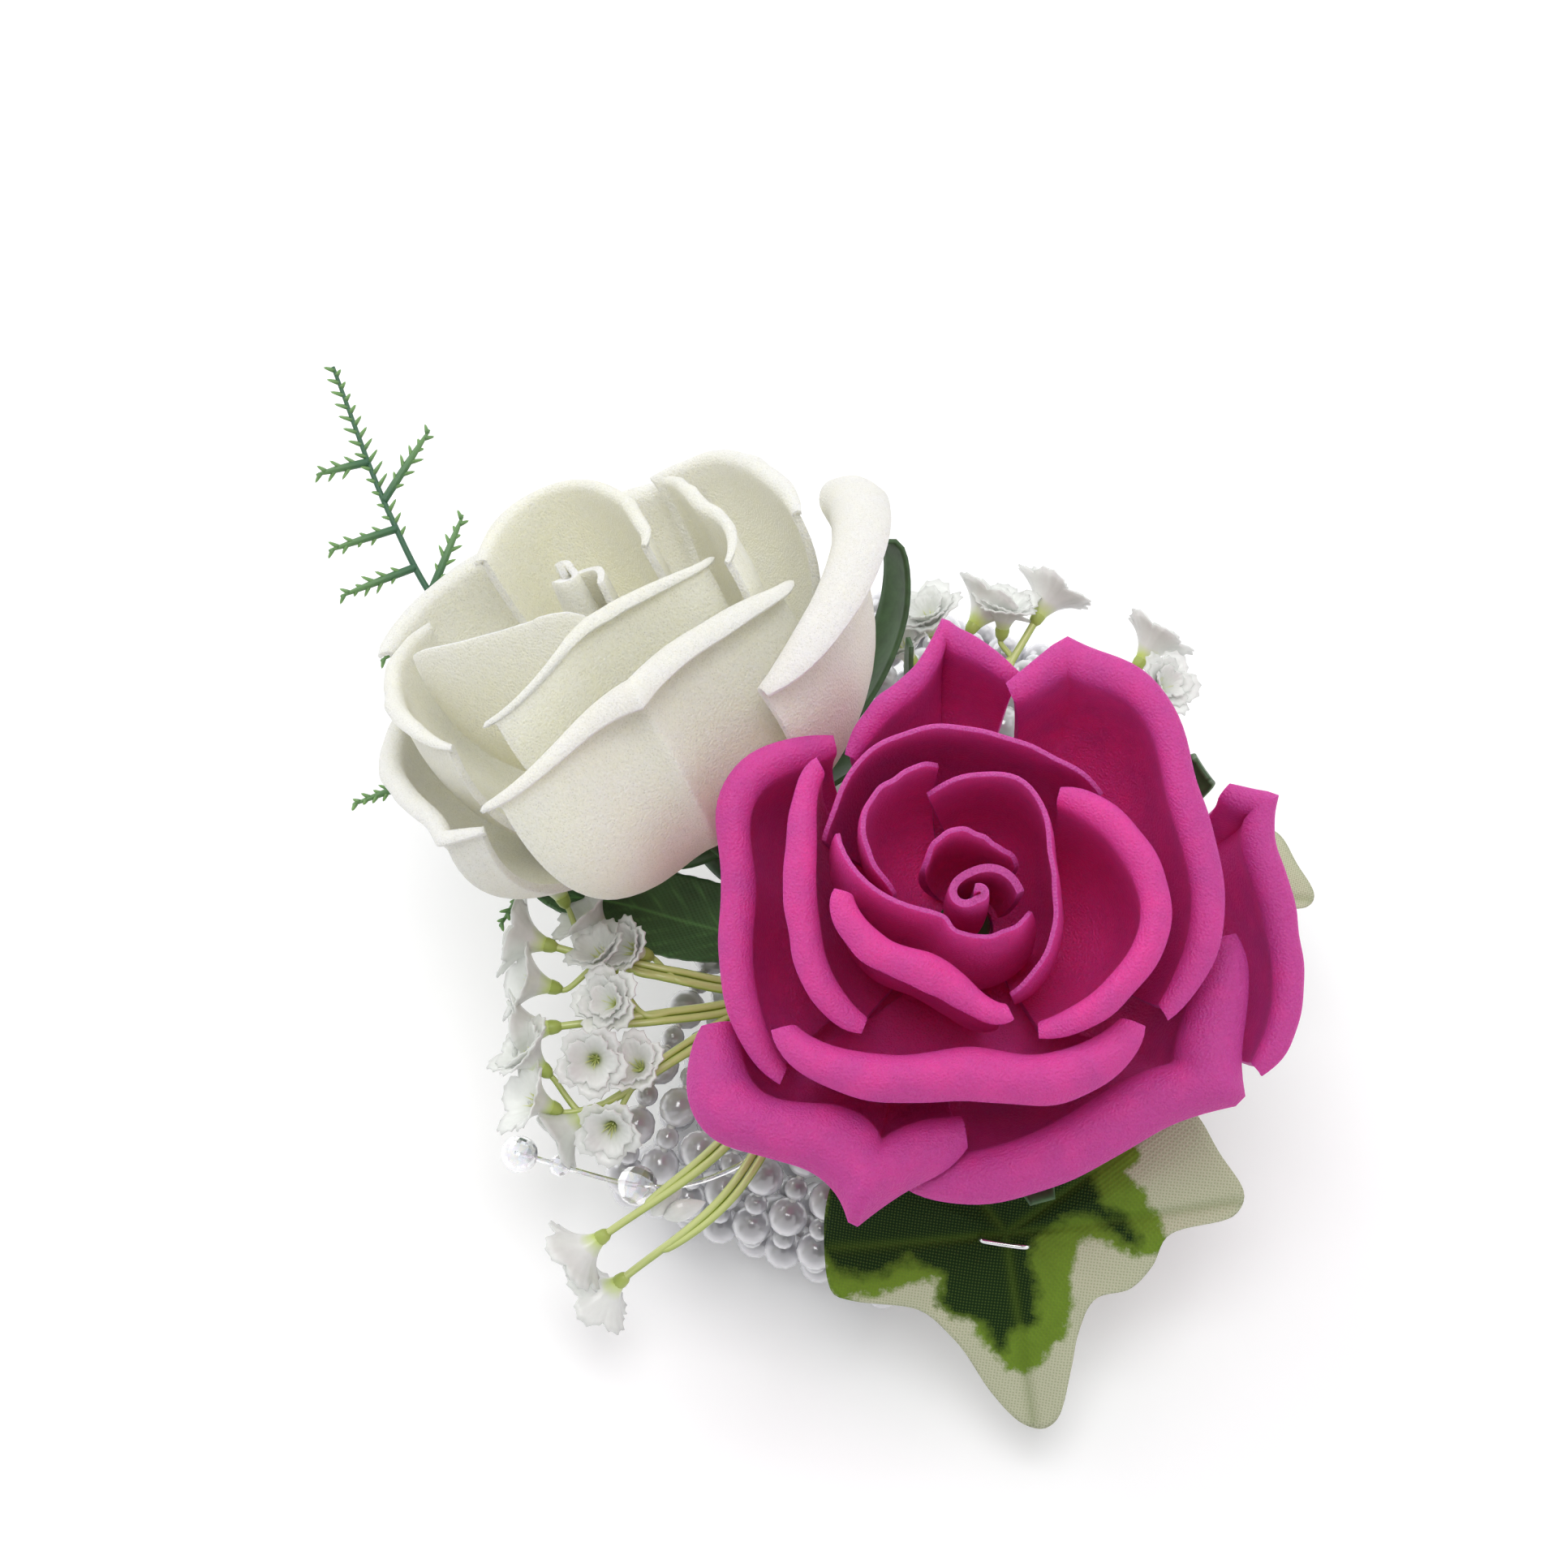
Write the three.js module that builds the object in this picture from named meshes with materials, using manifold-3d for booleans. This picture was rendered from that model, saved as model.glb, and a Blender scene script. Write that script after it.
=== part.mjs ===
// Wrist corsage: two foam roses with ivy, fern, gypsophila and clear beads on a stretch bracelet of pearls.
// Millimetres, +Z up. The origin is the middle of the wrist pad's underside. +X runs along the wrist,
// +Y along the flattened loop of the bracelet.
import * as THREE from 'three';
import { mergeVertices } from 'three/addons/utils/BufferGeometryUtils.js';
import Module from 'manifold-3d';

const wasm = await Module();
wasm.setup();

// Clearance between pieces that touch on the real object
const seatGap = 0.3;

// Pearl bracelet
const bigPearlDiameter = 4.4;
const smallPearlDiameter = 2.6;
const threadDiameter = 1.1;
const pearlPitch = 7.2;
const pitchesAround = 25;
const strandCount = 9;
const bendRadius = 10.5;
const freePearlSides = 5;
const heldPearlSides = 4;

// Wrist pad and backing plate, both oval
const padWidth = 34;
const padLength = 44;
const padThickness = 1.5;
const plateThickness = 1.8;
const ovalSegments = 20;

// Taped bundle of stems
const bundleDiameter = 4.6;
const bundleLength = 15;
const roseStemDiameter = 2.4;

// Pink rose: place and lean
const pinkBase = new THREE.Vector3(10.6, -6.8, 15);
const pinkAxis = new THREE.Vector3(0.172, -0.329, 0.93).normalize();
const pinkFacing = new THREE.Vector3(0.92, 0.39, 0);
const pinkRadius = 30;
const pinkHeight = 35;

// Ivory rose: place and lean
const ivoryBase = new THREE.Vector3(-20, -6.6, 16);
const ivoryAxis = new THREE.Vector3(-0.555, 0.304, 0.773).normalize();
const ivoryFacing = new THREE.Vector3(0.484, -0.636, 0.599);
const ivoryRadius = 26;
const ivoryHeight = 35;

// Foam petals and buds
const foamThickness = 1;
const budInnerRadius = 0.9;
const budThickness = 0.8;
const pinkBudRadius = 4.6;
const pinkBudTurns = 1.3;
const pinkBudEndAngle = 5;
const pinkLeanShares = [-0.025, 0.074];
const ivoryBudRadius = 4.4;
const ivoryBudTurns = 1.8;
const ivoryBudEndAngle = 40;
const ivoryLeanShares = [-0.09, -0.006];

// Calyx under each rose
const spikeDiameter = 4.4;
const cupDiameter = 11;
const cupDepth = 3;
const sepalWidth = 6;
const sepalThickness = 0.6;

// Leaves
const ivyReach = 24;
const smallIvyReach = 18;
const leafThickness = 0.5;
const stalkDiameter = 1.2;
const ivyTop = new THREE.Vector3(24.64, -23.62, 12.97);
const ivyAcross = new THREE.Vector3(0.97, 0.2425, 0);
const ivyUp = new THREE.Vector3(-0.197, 0.79, 0.581);
const smallIvyHeart = new THREE.Vector3(27, 6.4, 12);
const smallIvyAcross = new THREE.Vector3(1, 0.18, 0.02);
const smallIvyUp = new THREE.Vector3(-0.18, 1, 0.1);
const stapleDiameter = 0.6;
const stapleLength = 4.6;
const roseLeafReach = 35;
const roseLeafFoot = 2.7;

// Fern, gypsophila and clear beads
const fernReach = 80;
const lowFernReach = 52;
const fernStemDiameter = 1.4;
const needleLength = 2.4;
const needleDiameter = 0.8;
const needleSpacing = 3.4;
const sprigDiameter = 1;
const sprigClearance = 2.2;
const gypReach = 40;
const gypStemDiameter = 1;
const flowerRadius = 3.2;
const flowerDepth = 4.4;
const lineReach = 45;
const lineDiameter = 0.6;
const roundBeadDiameter = 4;
const facetBeadDiameter = 4.4;

// Turns a geometry into one closed mesh of shared corners, without the collapsed facets at its poles
const mergeDistance = 1e-4;
function closedGeometry(geometry) {
  const bare = geometry.clone();
  bare.deleteAttribute('normal');
  bare.deleteAttribute('uv');
  const merged = mergeVertices(bare, mergeDistance);
  const index = merged.index.array;
  const kept = [];
  for (let i = 0; i < index.length; i += 3) {
    const [a, b, c] = [index[i], index[i + 1], index[i + 2]];
    if (a !== b && b !== c && c !== a) kept.push(a, b, c);
  }
  merged.setIndex(kept);
  return merged;
}

// The signed volume tells whether the facets point outwards
function signedVolume(geometry) {
  const place = geometry.attributes.position;
  const index = geometry.index.array;
  const corners = [new THREE.Vector3(), new THREE.Vector3(), new THREE.Vector3()];
  let volume = 0;
  for (let i = 0; i < index.length; i += 3) {
    corners.forEach((corner, k) => corner.fromBufferAttribute(place, index[i + k]));
    volume += corners[0].dot(corners[1].clone().cross(corners[2]));
  }
  return volume;
}

function outwardGeometry(geometry) {
  const closed = closedGeometry(geometry);
  if (signedVolume(closed) < 0) {
    const flipped = Array.from(closed.index.array);
    for (let i = 0; i < flipped.length; i += 3) {
      [flipped[i + 1], flipped[i + 2]] = [flipped[i + 2], flipped[i + 1]];
    }
    closed.setIndex(flipped);
  }
  return closed;
}

function toManifold(geometry) {
  const closed = outwardGeometry(geometry);
  return new wasm.Manifold(new wasm.Mesh({
    numProp: 3,
    vertProperties: Float32Array.from(closed.attributes.position.array),
    triVerts: Uint32Array.from(closed.index.array),
  }));
}

// Joins geometries that grow out of each other into one body
function fuse(geometries) {
  const body = geometries.map(toManifold).reduce((sum, next) => sum.add(next));
  const mesh = body.getMesh();
  const joined = new THREE.BufferGeometry();
  const points = [];
  for (let i = 0; i < mesh.numVert; i += 1) {
    points.push(...mesh.vertProperties.slice(i * mesh.numProp, i * mesh.numProp + 3));
  }
  joined.setAttribute('position', new THREE.Float32BufferAttribute(points, 3));
  joined.setIndex(Array.from(mesh.triVerts));
  return joined;
}

const corsage = new THREE.Group();

function addPiece(name, geometry, finish, parent = corsage) {
  const mesh = new THREE.Mesh(geometry, new THREE.MeshStandardMaterial(finish));
  mesh.name = name;
  parent.add(mesh);
  return mesh;
}

const pearlFinish = { color: 0xdedbdc, roughness: 0.22, metalness: 0 };
const feltFinish = { color: 0xf1efea, roughness: 0.95, metalness: 0 };
const plateFinish = { color: 0xe6e6e2, roughness: 0.5, metalness: 0 };
const tapeFinish = { color: 0x4c6b3a, roughness: 0.8, metalness: 0 };
const pinkFinish = { color: 0xc42c7c, roughness: 0.75, metalness: 0 };
const ivoryFinish = { color: 0xe9e7dc, roughness: 0.75, metalness: 0 };
const calyxFinish = { color: 0x2f5a38, roughness: 0.6, metalness: 0 };
const ivyFinish = { color: 0x7d8f45, roughness: 0.7, metalness: 0 };
const leafFinish = { color: 0x2c4f2a, roughness: 0.65, metalness: 0 };
const fernFinish = { color: 0x2f5c35, roughness: 0.45, metalness: 0 };
const gypFinish = { color: 0xe8ecdc, roughness: 0.3, metalness: 0 };
const clearFinish = { color: 0xdfe4e6, roughness: 0.05, metalness: 0 };
const wireFinish = { color: 0xb9bcbd, roughness: 0.25, metalness: 1 };

// Heights of the sandwich that grips the strands
const bigPearlRadius = bigPearlDiameter / 2;
const smallPearlRadius = smallPearlDiameter / 2;
const strandHeight = padThickness + seatGap + bigPearlRadius;
const plateBottom = strandHeight + bigPearlRadius + seatGap;
const plateTop = plateBottom + plateThickness;

// The middle line of every strand is a flattened loop: two straight runs and two half circles.
// A distance along it is counted from the middle of the top run, towards +Y.
const sitePitch = pearlPitch / 2;
const siteCount = 2 * pitchesAround;
const loopLength = pearlPitch * pitchesAround;
const halfStraight = (loopLength / 2 - Math.PI * bendRadius) / 2;

function loopFrame(distance) {
  const s = ((distance % loopLength) + loopLength) % loopLength;
  const bend = Math.PI * bendRadius;
  const middle = strandHeight - bendRadius;
  if (s <= halfStraight) return { y: s, z: strandHeight, turn: 0 };
  if (s <= halfStraight + bend) {
    const turn = (s - halfStraight) / bendRadius;
    return { y: halfStraight + bendRadius * Math.sin(turn), z: middle + bendRadius * Math.cos(turn), turn };
  }
  if (s <= 3 * halfStraight + bend) {
    return { y: halfStraight - (s - halfStraight - bend), z: middle - bendRadius, turn: Math.PI };
  }
  if (s <= 3 * halfStraight + 2 * bend) {
    const turn = Math.PI + (s - 3 * halfStraight - bend) / bendRadius;
    return { y: -halfStraight + bendRadius * Math.sin(turn), z: middle + bendRadius * Math.cos(turn), turn };
  }
  return { y: s - loopLength, z: strandHeight, turn: 2 * Math.PI };
}

// A strand is turned as a straight string of pearls, then laid along the loop
const strandSpacing = bigPearlRadius + smallPearlRadius + seatGap;

function pearlString(firstSite, lastSite, startsBig, sides) {
  const isBig = (site) => (site % 2 === 0) === startsBig;
  const radiusAt = (site) => (isBig(site) ? bigPearlRadius : smallPearlRadius);
  const threadRadius = threadDiameter / 2;
  const start = firstSite * sitePitch - radiusAt(firstSite);
  const end = lastSite * sitePitch + radiusAt(lastSite);
  const profile = [new THREE.Vector2(0, start), new THREE.Vector2(threadRadius, start)];
  for (let site = firstSite; site <= lastSite; site += 1) {
    profile.push(new THREE.Vector2(radiusAt(site), site * sitePitch));
    if (site < lastSite) {
      const reach = isBig(site) ? bigPearlRadius : sitePitch - bigPearlRadius;
      profile.push(new THREE.Vector2(threadRadius, site * sitePitch + reach));
    }
  }
  profile.push(new THREE.Vector2(threadRadius, end), new THREE.Vector2(0, end));
  const string = new THREE.LatheGeometry(profile, sides, Math.PI / sides);
  const place = string.attributes.position;
  for (let i = 0; i < place.count; i += 1) {
    const [across, along, out] = [place.getX(i), place.getY(i), place.getZ(i)];
    const frame = loopFrame(along);
    place.setXYZ(i, across, frame.y + out * Math.sin(frame.turn), frame.z + out * Math.cos(frame.turn));
  }
  return outwardGeometry(string);
}

const topReach = Math.floor(halfStraight / sitePitch);
for (let strand = 0; strand < strandCount; strand += 1) {
  const place = (strand - (strandCount - 1) / 2) * strandSpacing;
  const startsBig = strand % 2 === 0;
  const held = addPiece(
    `held_strand_${strand + 1}`,
    pearlString(-topReach, topReach, startsBig, heldPearlSides),
    pearlFinish,
  );
  const free = addPiece(
    `free_strand_${strand + 1}`,
    pearlString(topReach + 1, siteCount - topReach - 1, startsBig, freePearlSides),
    pearlFinish,
  );
  held.position.x = place;
  free.position.x = place;
}

// Oval pad and plate
function oval(width, length, thickness) {
  const outline = new THREE.Shape();
  outline.absellipse(0, 0, width / 2, length / 2, 0, 2 * Math.PI);
  return outwardGeometry(new THREE.ExtrudeGeometry(outline, {
    depth: thickness, bevelEnabled: false, curveSegments: ovalSegments,
  }));
}
addPiece('wrist_pad', oval(padWidth, padLength, padThickness), feltFinish);
addPiece('backing_plate', oval(padWidth, padLength, plateThickness), plateFinish).position.z = plateBottom;

// A tube of round section along a curve
const tubeStep = 7;
function tube(curve, diameter, sides, steps) {
  const section = new THREE.Shape();
  section.absarc(0, 0, diameter / 2, 0, 2 * Math.PI);
  const count = steps || Math.max(2, Math.round(curve.getLength() / tubeStep));
  return new THREE.ExtrudeGeometry(section, {
    steps: count, bevelEnabled: false, curveSegments: sides, extrudePath: curve,
  });
}

// The bundle lies on the plate on the line between the two roses
const bundleHeight = plateTop + seatGap + bundleDiameter / 2;
function dropToBundle(base, axis) {
  return base.clone().addScaledVector(axis, (bundleHeight - base.z) / axis.z);
}
const pinkKnee = dropToBundle(pinkBase, pinkAxis);
const ivoryKnee = dropToBundle(ivoryBase, ivoryAxis);
const bundleMiddle = pinkKnee.clone().add(ivoryKnee).multiplyScalar(1 / 2);
const bundleDirection = pinkKnee.clone().sub(ivoryKnee).normalize();
const bundleEnd = (sign, gap) => bundleMiddle.clone().addScaledVector(
  bundleDirection,
  sign * (bundleLength / 2 + gap),
);
const stemSides = 4;
const bundleSides = 6;
const bundleLine = new THREE.LineCurve3(bundleEnd(-1, 0), bundleEnd(1, 0));
addPiece('stem_bundle', outwardGeometry(tube(bundleLine, bundleDiameter, bundleSides, 1)), tapeFinish);

// A closed sheet of even thickness over a surface of two parameters
const slope = 1e-3;
function sheet(surface, acrossStops, alongStops, thickness) {
  const points = [];
  const [columns, rows] = [acrossStops.length, alongStops.length];
  for (const side of [1, -1]) {
    for (const v of alongStops) {
      for (const u of acrossStops) {
        const [u0, u1] = [Math.max(0, u - slope), Math.min(1, u + slope)];
        const [v0, v1] = [Math.max(0, v - slope), Math.min(1, v + slope)];
        const du = surface(u1, v).sub(surface(u0, v));
        const dv = surface(u, v1).sub(surface(u, v0));
        const normal = du.cross(dv).normalize();
        points.push(...surface(u, v).addScaledVector(normal, side * thickness / 2).toArray());
      }
    }
  }
  const at = (side, row, column) => (side * rows + row) * columns + column;
  const index = [];
  const quad = (a, b, c, d) => index.push(a, b, c, a, c, d);
  for (let row = 0; row < rows - 1; row += 1) {
    for (let column = 0; column < columns - 1; column += 1) {
      quad(at(0, row, column), at(0, row, column + 1), at(0, row + 1, column + 1), at(0, row + 1, column));
      quad(at(1, row, column), at(1, row + 1, column), at(1, row + 1, column + 1), at(1, row, column + 1));
    }
  }
  for (let column = 0; column < columns - 1; column += 1) {
    quad(at(1, 0, column), at(1, 0, column + 1), at(0, 0, column + 1), at(0, 0, column));
    const last = rows - 1;
    quad(at(0, last, column), at(0, last, column + 1), at(1, last, column + 1), at(1, last, column));
  }
  for (let row = 0; row < rows - 1; row += 1) {
    quad(at(0, row, 0), at(0, row + 1, 0), at(1, row + 1, 0), at(1, row, 0));
    const last = columns - 1;
    quad(at(1, row, last), at(1, row + 1, last), at(0, row + 1, last), at(0, row, last));
  }
  const geometry = new THREE.BufferGeometry();
  geometry.setAttribute('position', new THREE.Float32BufferAttribute(points, 3));
  geometry.setIndex(index);
  return outwardGeometry(geometry);
}

const stops = (count, from = 0, to = 1) => Array.from(
  { length: count + 1 },
  (_, i) => from + (to - from) * (i / count),
);

// The middle of a rose leans with the square of the height, by shares of its radius
function leanOver(rose, radius, angle, height) {
  const leaning = rose.radius * (height / rose.height) ** 2;
  const [x, y] = rose.leanShares.map((share) => share * leaning);
  return new THREE.Vector3(radius * Math.cos(angle) + x, radius * Math.sin(angle) + y, height);
}

// A petal is a cup sector whose rim can roll outwards. Its section is a quarter ellipse with a bulge from
// the foot, on the calyx spike, up to the rim, followed by an arc of the lip's radius. The rim follows a
// curve through five radii and five heights, and can have one point.
const footSpreadShare = 0.6;
const cupShare = 0.72;
const pointWidthShare = 0.16;
const lipPointGain = 4;
const lipTurn = THREE.MathUtils.degToRad(150);
const footRadius = spikeDiameter / 2 + seatGap + foamThickness / 2;

function petalSurface(rose, petal) {
  const middle = THREE.MathUtils.degToRad(petal.angle);
  const half = THREE.MathUtils.degToRad(petal.half);
  const rimCurve = new THREE.SplineCurve(
    petal.rimShares.map((rim, i) => new THREE.Vector2(rose.radius * rim, rose.height * petal.topShares[i])),
  );
  const cupEnd = petal.lipShare > 0 ? cupShare : 1;
  const seat = rose.height * petal.seatShare;
  const [pointPlace, pointSize] = petal.pointShares;
  return (u, v) => {
    const side = 2 * u - 1;
    const spread = footSpreadShare + (1 - footSpreadShare) * Math.sqrt(v);
    const angle = middle + half * side * spread;
    const ease = 1 - side ** 4 / 2;
    const peak = pointSize * Math.exp(-Math.abs(side - pointPlace) / pointWidthShare);
    const { x: rim, y: top } = rimCurve.getPoint(u);
    const cup = Math.min(v / cupEnd, 1);
    const rise = cup * Math.PI / 2;
    const bulge = rose.radius * petal.bulgeShare * ease * Math.sin(Math.PI * cup);
    let radius = footRadius + (rim + rose.radius * peak - footRadius) * Math.sin(rise) + bulge;
    let height = seat + (top - seat) * (1 - Math.cos(rise));
    if (v > cupEnd) {
      const turn = lipTurn * (v - cupEnd) / (1 - cupEnd);
      const roll = rose.radius * petal.lipShare * ease * (1 + lipPointGain * peak);
      radius += roll * (1 - Math.cos(turn));
      height += roll * Math.sin(turn);
    }
    return leanOver(rose, radius, angle, height);
  };
}

const columnAngle = 17;
const cupRows = 3;
const lipRows = 2;
function petalGeometry(rose, petal) {
  const columns = Math.max(4, 2 * Math.round(petal.half / columnAngle));
  const along = petal.lipShare > 0
    ? [...stops(cupRows, 0, cupShare), ...stops(lipRows, cupShare, 1).slice(1)]
    : stops(cupRows);
  return sheet(petalSurface(rose, petal), stops(columns), along, foamThickness);
}

// The bud is one sheet rolled into a spiral, seated on top of the calyx spike
const spikeShare = 0.48;
const budStepsPerTurn = 7;
const budGrowth = 1.5;
function budGeometry(rose) {
  const seat = rose.height * spikeShare + seatGap;
  const end = THREE.MathUtils.degToRad(rose.budEndAngle);
  const surface = (u, v) => {
    const angle = end + 2 * Math.PI * rose.budTurns * (1 - u);
    const swell = 1 - (1 - v) ** 2 / 4;
    const radius = (budInnerRadius + (rose.budRadius - budInnerRadius) * u ** budGrowth) * swell;
    return leanOver(rose, radius, angle, seat + (rose.height - seat) * v);
  };
  return sheet(surface, stops(Math.round(rose.budTurns * budStepsPerTurn)), stops(2), budThickness);
}

// The calyx: a spike up through the petals, a cup under them, hanging sepals and the stem to the bundle
const calyxSides = 6;
const sepalStartShare = 0.16;
const sepalSpanShare = 0.8;
const sepalTipShare = 0.06;
function sepalSurface(sepal, rose) {
  const angle = THREE.MathUtils.degToRad(sepal.angle);
  const out = new THREE.Vector3(Math.cos(angle), Math.sin(angle), 0);
  const across = new THREE.Vector3(-Math.sin(angle), Math.cos(angle), 0);
  const route = new THREE.CatmullRomCurve3(sepal.routeShares.map(([reach, rise]) => out.clone()
    .multiplyScalar(rose.radius * reach)
    .setZ(rose.radius * rise)));
  return (u, v) => {
    const swell = Math.sin(Math.PI * (sepalStartShare + sepalSpanShare * v));
    const width = sepalWidth * (swell + sepalTipShare);
    return route.getPoint(v).addScaledVector(across, -(u - 1 / 2) * width);
  };
}

function calyxGeometry(rose) {
  const spikeTop = rose.height * spikeShare;
  const cupRadius = cupDiameter / 2;
  const spikeRadius = spikeDiameter / 2;
  const profile = [
    [0, -cupDepth], [roseStemDiameter / 2, -cupDepth], [cupRadius, -cupDepth / 3], [cupRadius, 0],
    [spikeRadius, 0], [spikeRadius, spikeTop], [0, spikeTop],
  ].map(([x, y]) => new THREE.Vector2(x, y));
  const body = new THREE.LatheGeometry(profile, calyxSides);
  body.rotateX(Math.PI / 2);
  const toLocal = rose.frame.clone().invert();
  const stemEnd = bundleEnd(rose.side, seatGap).applyMatrix4(toLocal);
  const knee = rose.knee.clone().applyMatrix4(toLocal);
  const stem = tube(
    new THREE.QuadraticBezierCurve3(new THREE.Vector3(0, 0, -cupDepth / 2), knee, stemEnd),
    roseStemDiameter,
    stemSides,
  );
  const sepals = rose.sepals.map((sepal) => sheet(
    sepalSurface(sepal, rose),
    stops(2),
    stops(sepal.routeShares.length + 1),
    sepalThickness,
  ));
  return fuse([body, stem, ...sepals]);
}

function roseFrame(base, axis, facing) {
  const x = facing.clone().addScaledVector(axis, -facing.dot(axis)).normalize();
  const y = axis.clone().cross(x);
  return new THREE.Matrix4().makeBasis(x, y, axis).setPosition(base);
}

// Petals from the bud outwards. Angles in degrees about the rose's axis; the foot's height and the rim's
// five heights as shares of the rose's height; the rest as shares of its radius, from start to end.
const pinkPetals = [
  {
    angle: 95, half: 58, seatShare: 0.37, bulgeShare: 0.03, lipShare: 0, pointShares: [0, 0],
    rimShares: [0.18, 0.18, 0.2, 0.21, 0.19],
    topShares: [0.9, 0.95, 0.98, 0.98, 0.93],
  },
  {
    angle: 251, half: 96, seatShare: 0.33, bulgeShare: 0.1, lipShare: 0, pointShares: [0, 0],
    rimShares: [0.5, 0.16, 0.135, 0.145, 0.19],
    topShares: [0.98, 0.95, 0.93, 0.92, 0.94],
  },
  {
    angle: 141, half: 36, seatShare: 0.33, bulgeShare: 0.04, lipShare: 0, pointShares: [0, 0],
    rimShares: [0.45, 0.47, 0.46, 0.38, 0.26],
    topShares: [0.95, 0.97, 0.97, 0.95, 0.9],
  },
  {
    angle: 23, half: 93, seatShare: 0.285, bulgeShare: 0.06, lipShare: 0, pointShares: [0, 0],
    rimShares: [0.33, 0.28, 0.27, 0.4, 0.37],
    topShares: [0.88, 0.93, 0.98, 1, 0.96],
  },
  {
    angle: -127, half: 55, seatShare: 0.28, bulgeShare: 0.1, lipShare: 0.06, pointShares: [0, 0],
    rimShares: [0.42, 0.34, 0.25, 0.27, 0.38],
    topShares: [0.93, 0.92, 0.9, 0.88, 0.88],
  },
  {
    angle: -7, half: 59, seatShare: 0.24, bulgeShare: 0.06, lipShare: 0.045, pointShares: [0, 0],
    rimShares: [0.47, 0.53, 0.57, 0.5, 0.42],
    topShares: [0.84, 0.9, 0.92, 0.92, 0.9],
  },
  {
    angle: 99, half: 60, seatShare: 0.24, bulgeShare: 0.05, lipShare: 0, pointShares: [0, 0],
    rimShares: [0.56, 0.53, 0.56, 0.58, 0.54],
    topShares: [0.9, 0.94, 0.96, 0.94, 0.9],
  },
  {
    angle: 184, half: 46, seatShare: 0.195, bulgeShare: 0.06, lipShare: 0.05, pointShares: [0, 0],
    rimShares: [0.66, 0.57, 0.54, 0.55, 0.54],
    topShares: [0.86, 0.88, 0.88, 0.86, 0.82],
  },
  {
    angle: -92, half: 56, seatShare: 0.195, bulgeShare: 0.1, lipShare: 0.09, pointShares: [0, 0],
    rimShares: [0.74, 0.6, 0.5, 0.57, 0.64],
    topShares: [0.8, 0.82, 0.82, 0.82, 0.82],
  },
  {
    angle: 176, half: 47, seatShare: 0.14, bulgeShare: 0.06, lipShare: 0.055, pointShares: [0, 0],
    rimShares: [0.7, 0.82, 0.75, 0.79, 0.84],
    topShares: [0.74, 0.78, 0.76, 0.74, 0.7],
  },
  {
    angle: 25, half: 57, seatShare: 0.195, bulgeShare: 0.05, lipShare: 0.05, pointShares: [0.8, 0.1],
    rimShares: [0.72, 0.74, 0.74, 0.84, 0.66],
    topShares: [0.8, 0.84, 0.87, 0.88, 0.86],
  },
  {
    angle: 104, half: 27, seatShare: 0.165, bulgeShare: 0.04, lipShare: 0.03, pointShares: [-0.3, 0.1],
    rimShares: [0.76, 0.8, 0.73, 0.68, 0.64],
    topShares: [0.82, 0.84, 0.84, 0.82, 0.8],
  },
  {
    angle: -124, half: 33, seatShare: 0.1, bulgeShare: 0.05, lipShare: 0.12, pointShares: [0.4, 0.1],
    rimShares: [0.9, 0.95, 0.8, 0.74, 0.7],
    topShares: [0.62, 0.64, 0.64, 0.62, 0.6],
  },
  {
    angle: -56, half: 52, seatShare: 0.1, bulgeShare: 0.06, lipShare: 0.1, pointShares: [0.4, 0.1],
    rimShares: [0.84, 0.8, 0.76, 0.78, 0.82],
    topShares: [0.52, 0.58, 0.62, 0.62, 0.6],
  },
  {
    angle: -2, half: 28, seatShare: 0.055, bulgeShare: 0.04, lipShare: 0.05, pointShares: [0.8, 0.1],
    rimShares: [1.09, 1.08, 1.01, 0.94, 0.9],
    topShares: [0.66, 0.66, 0.68, 0.7, 0.7],
  },
];
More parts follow.
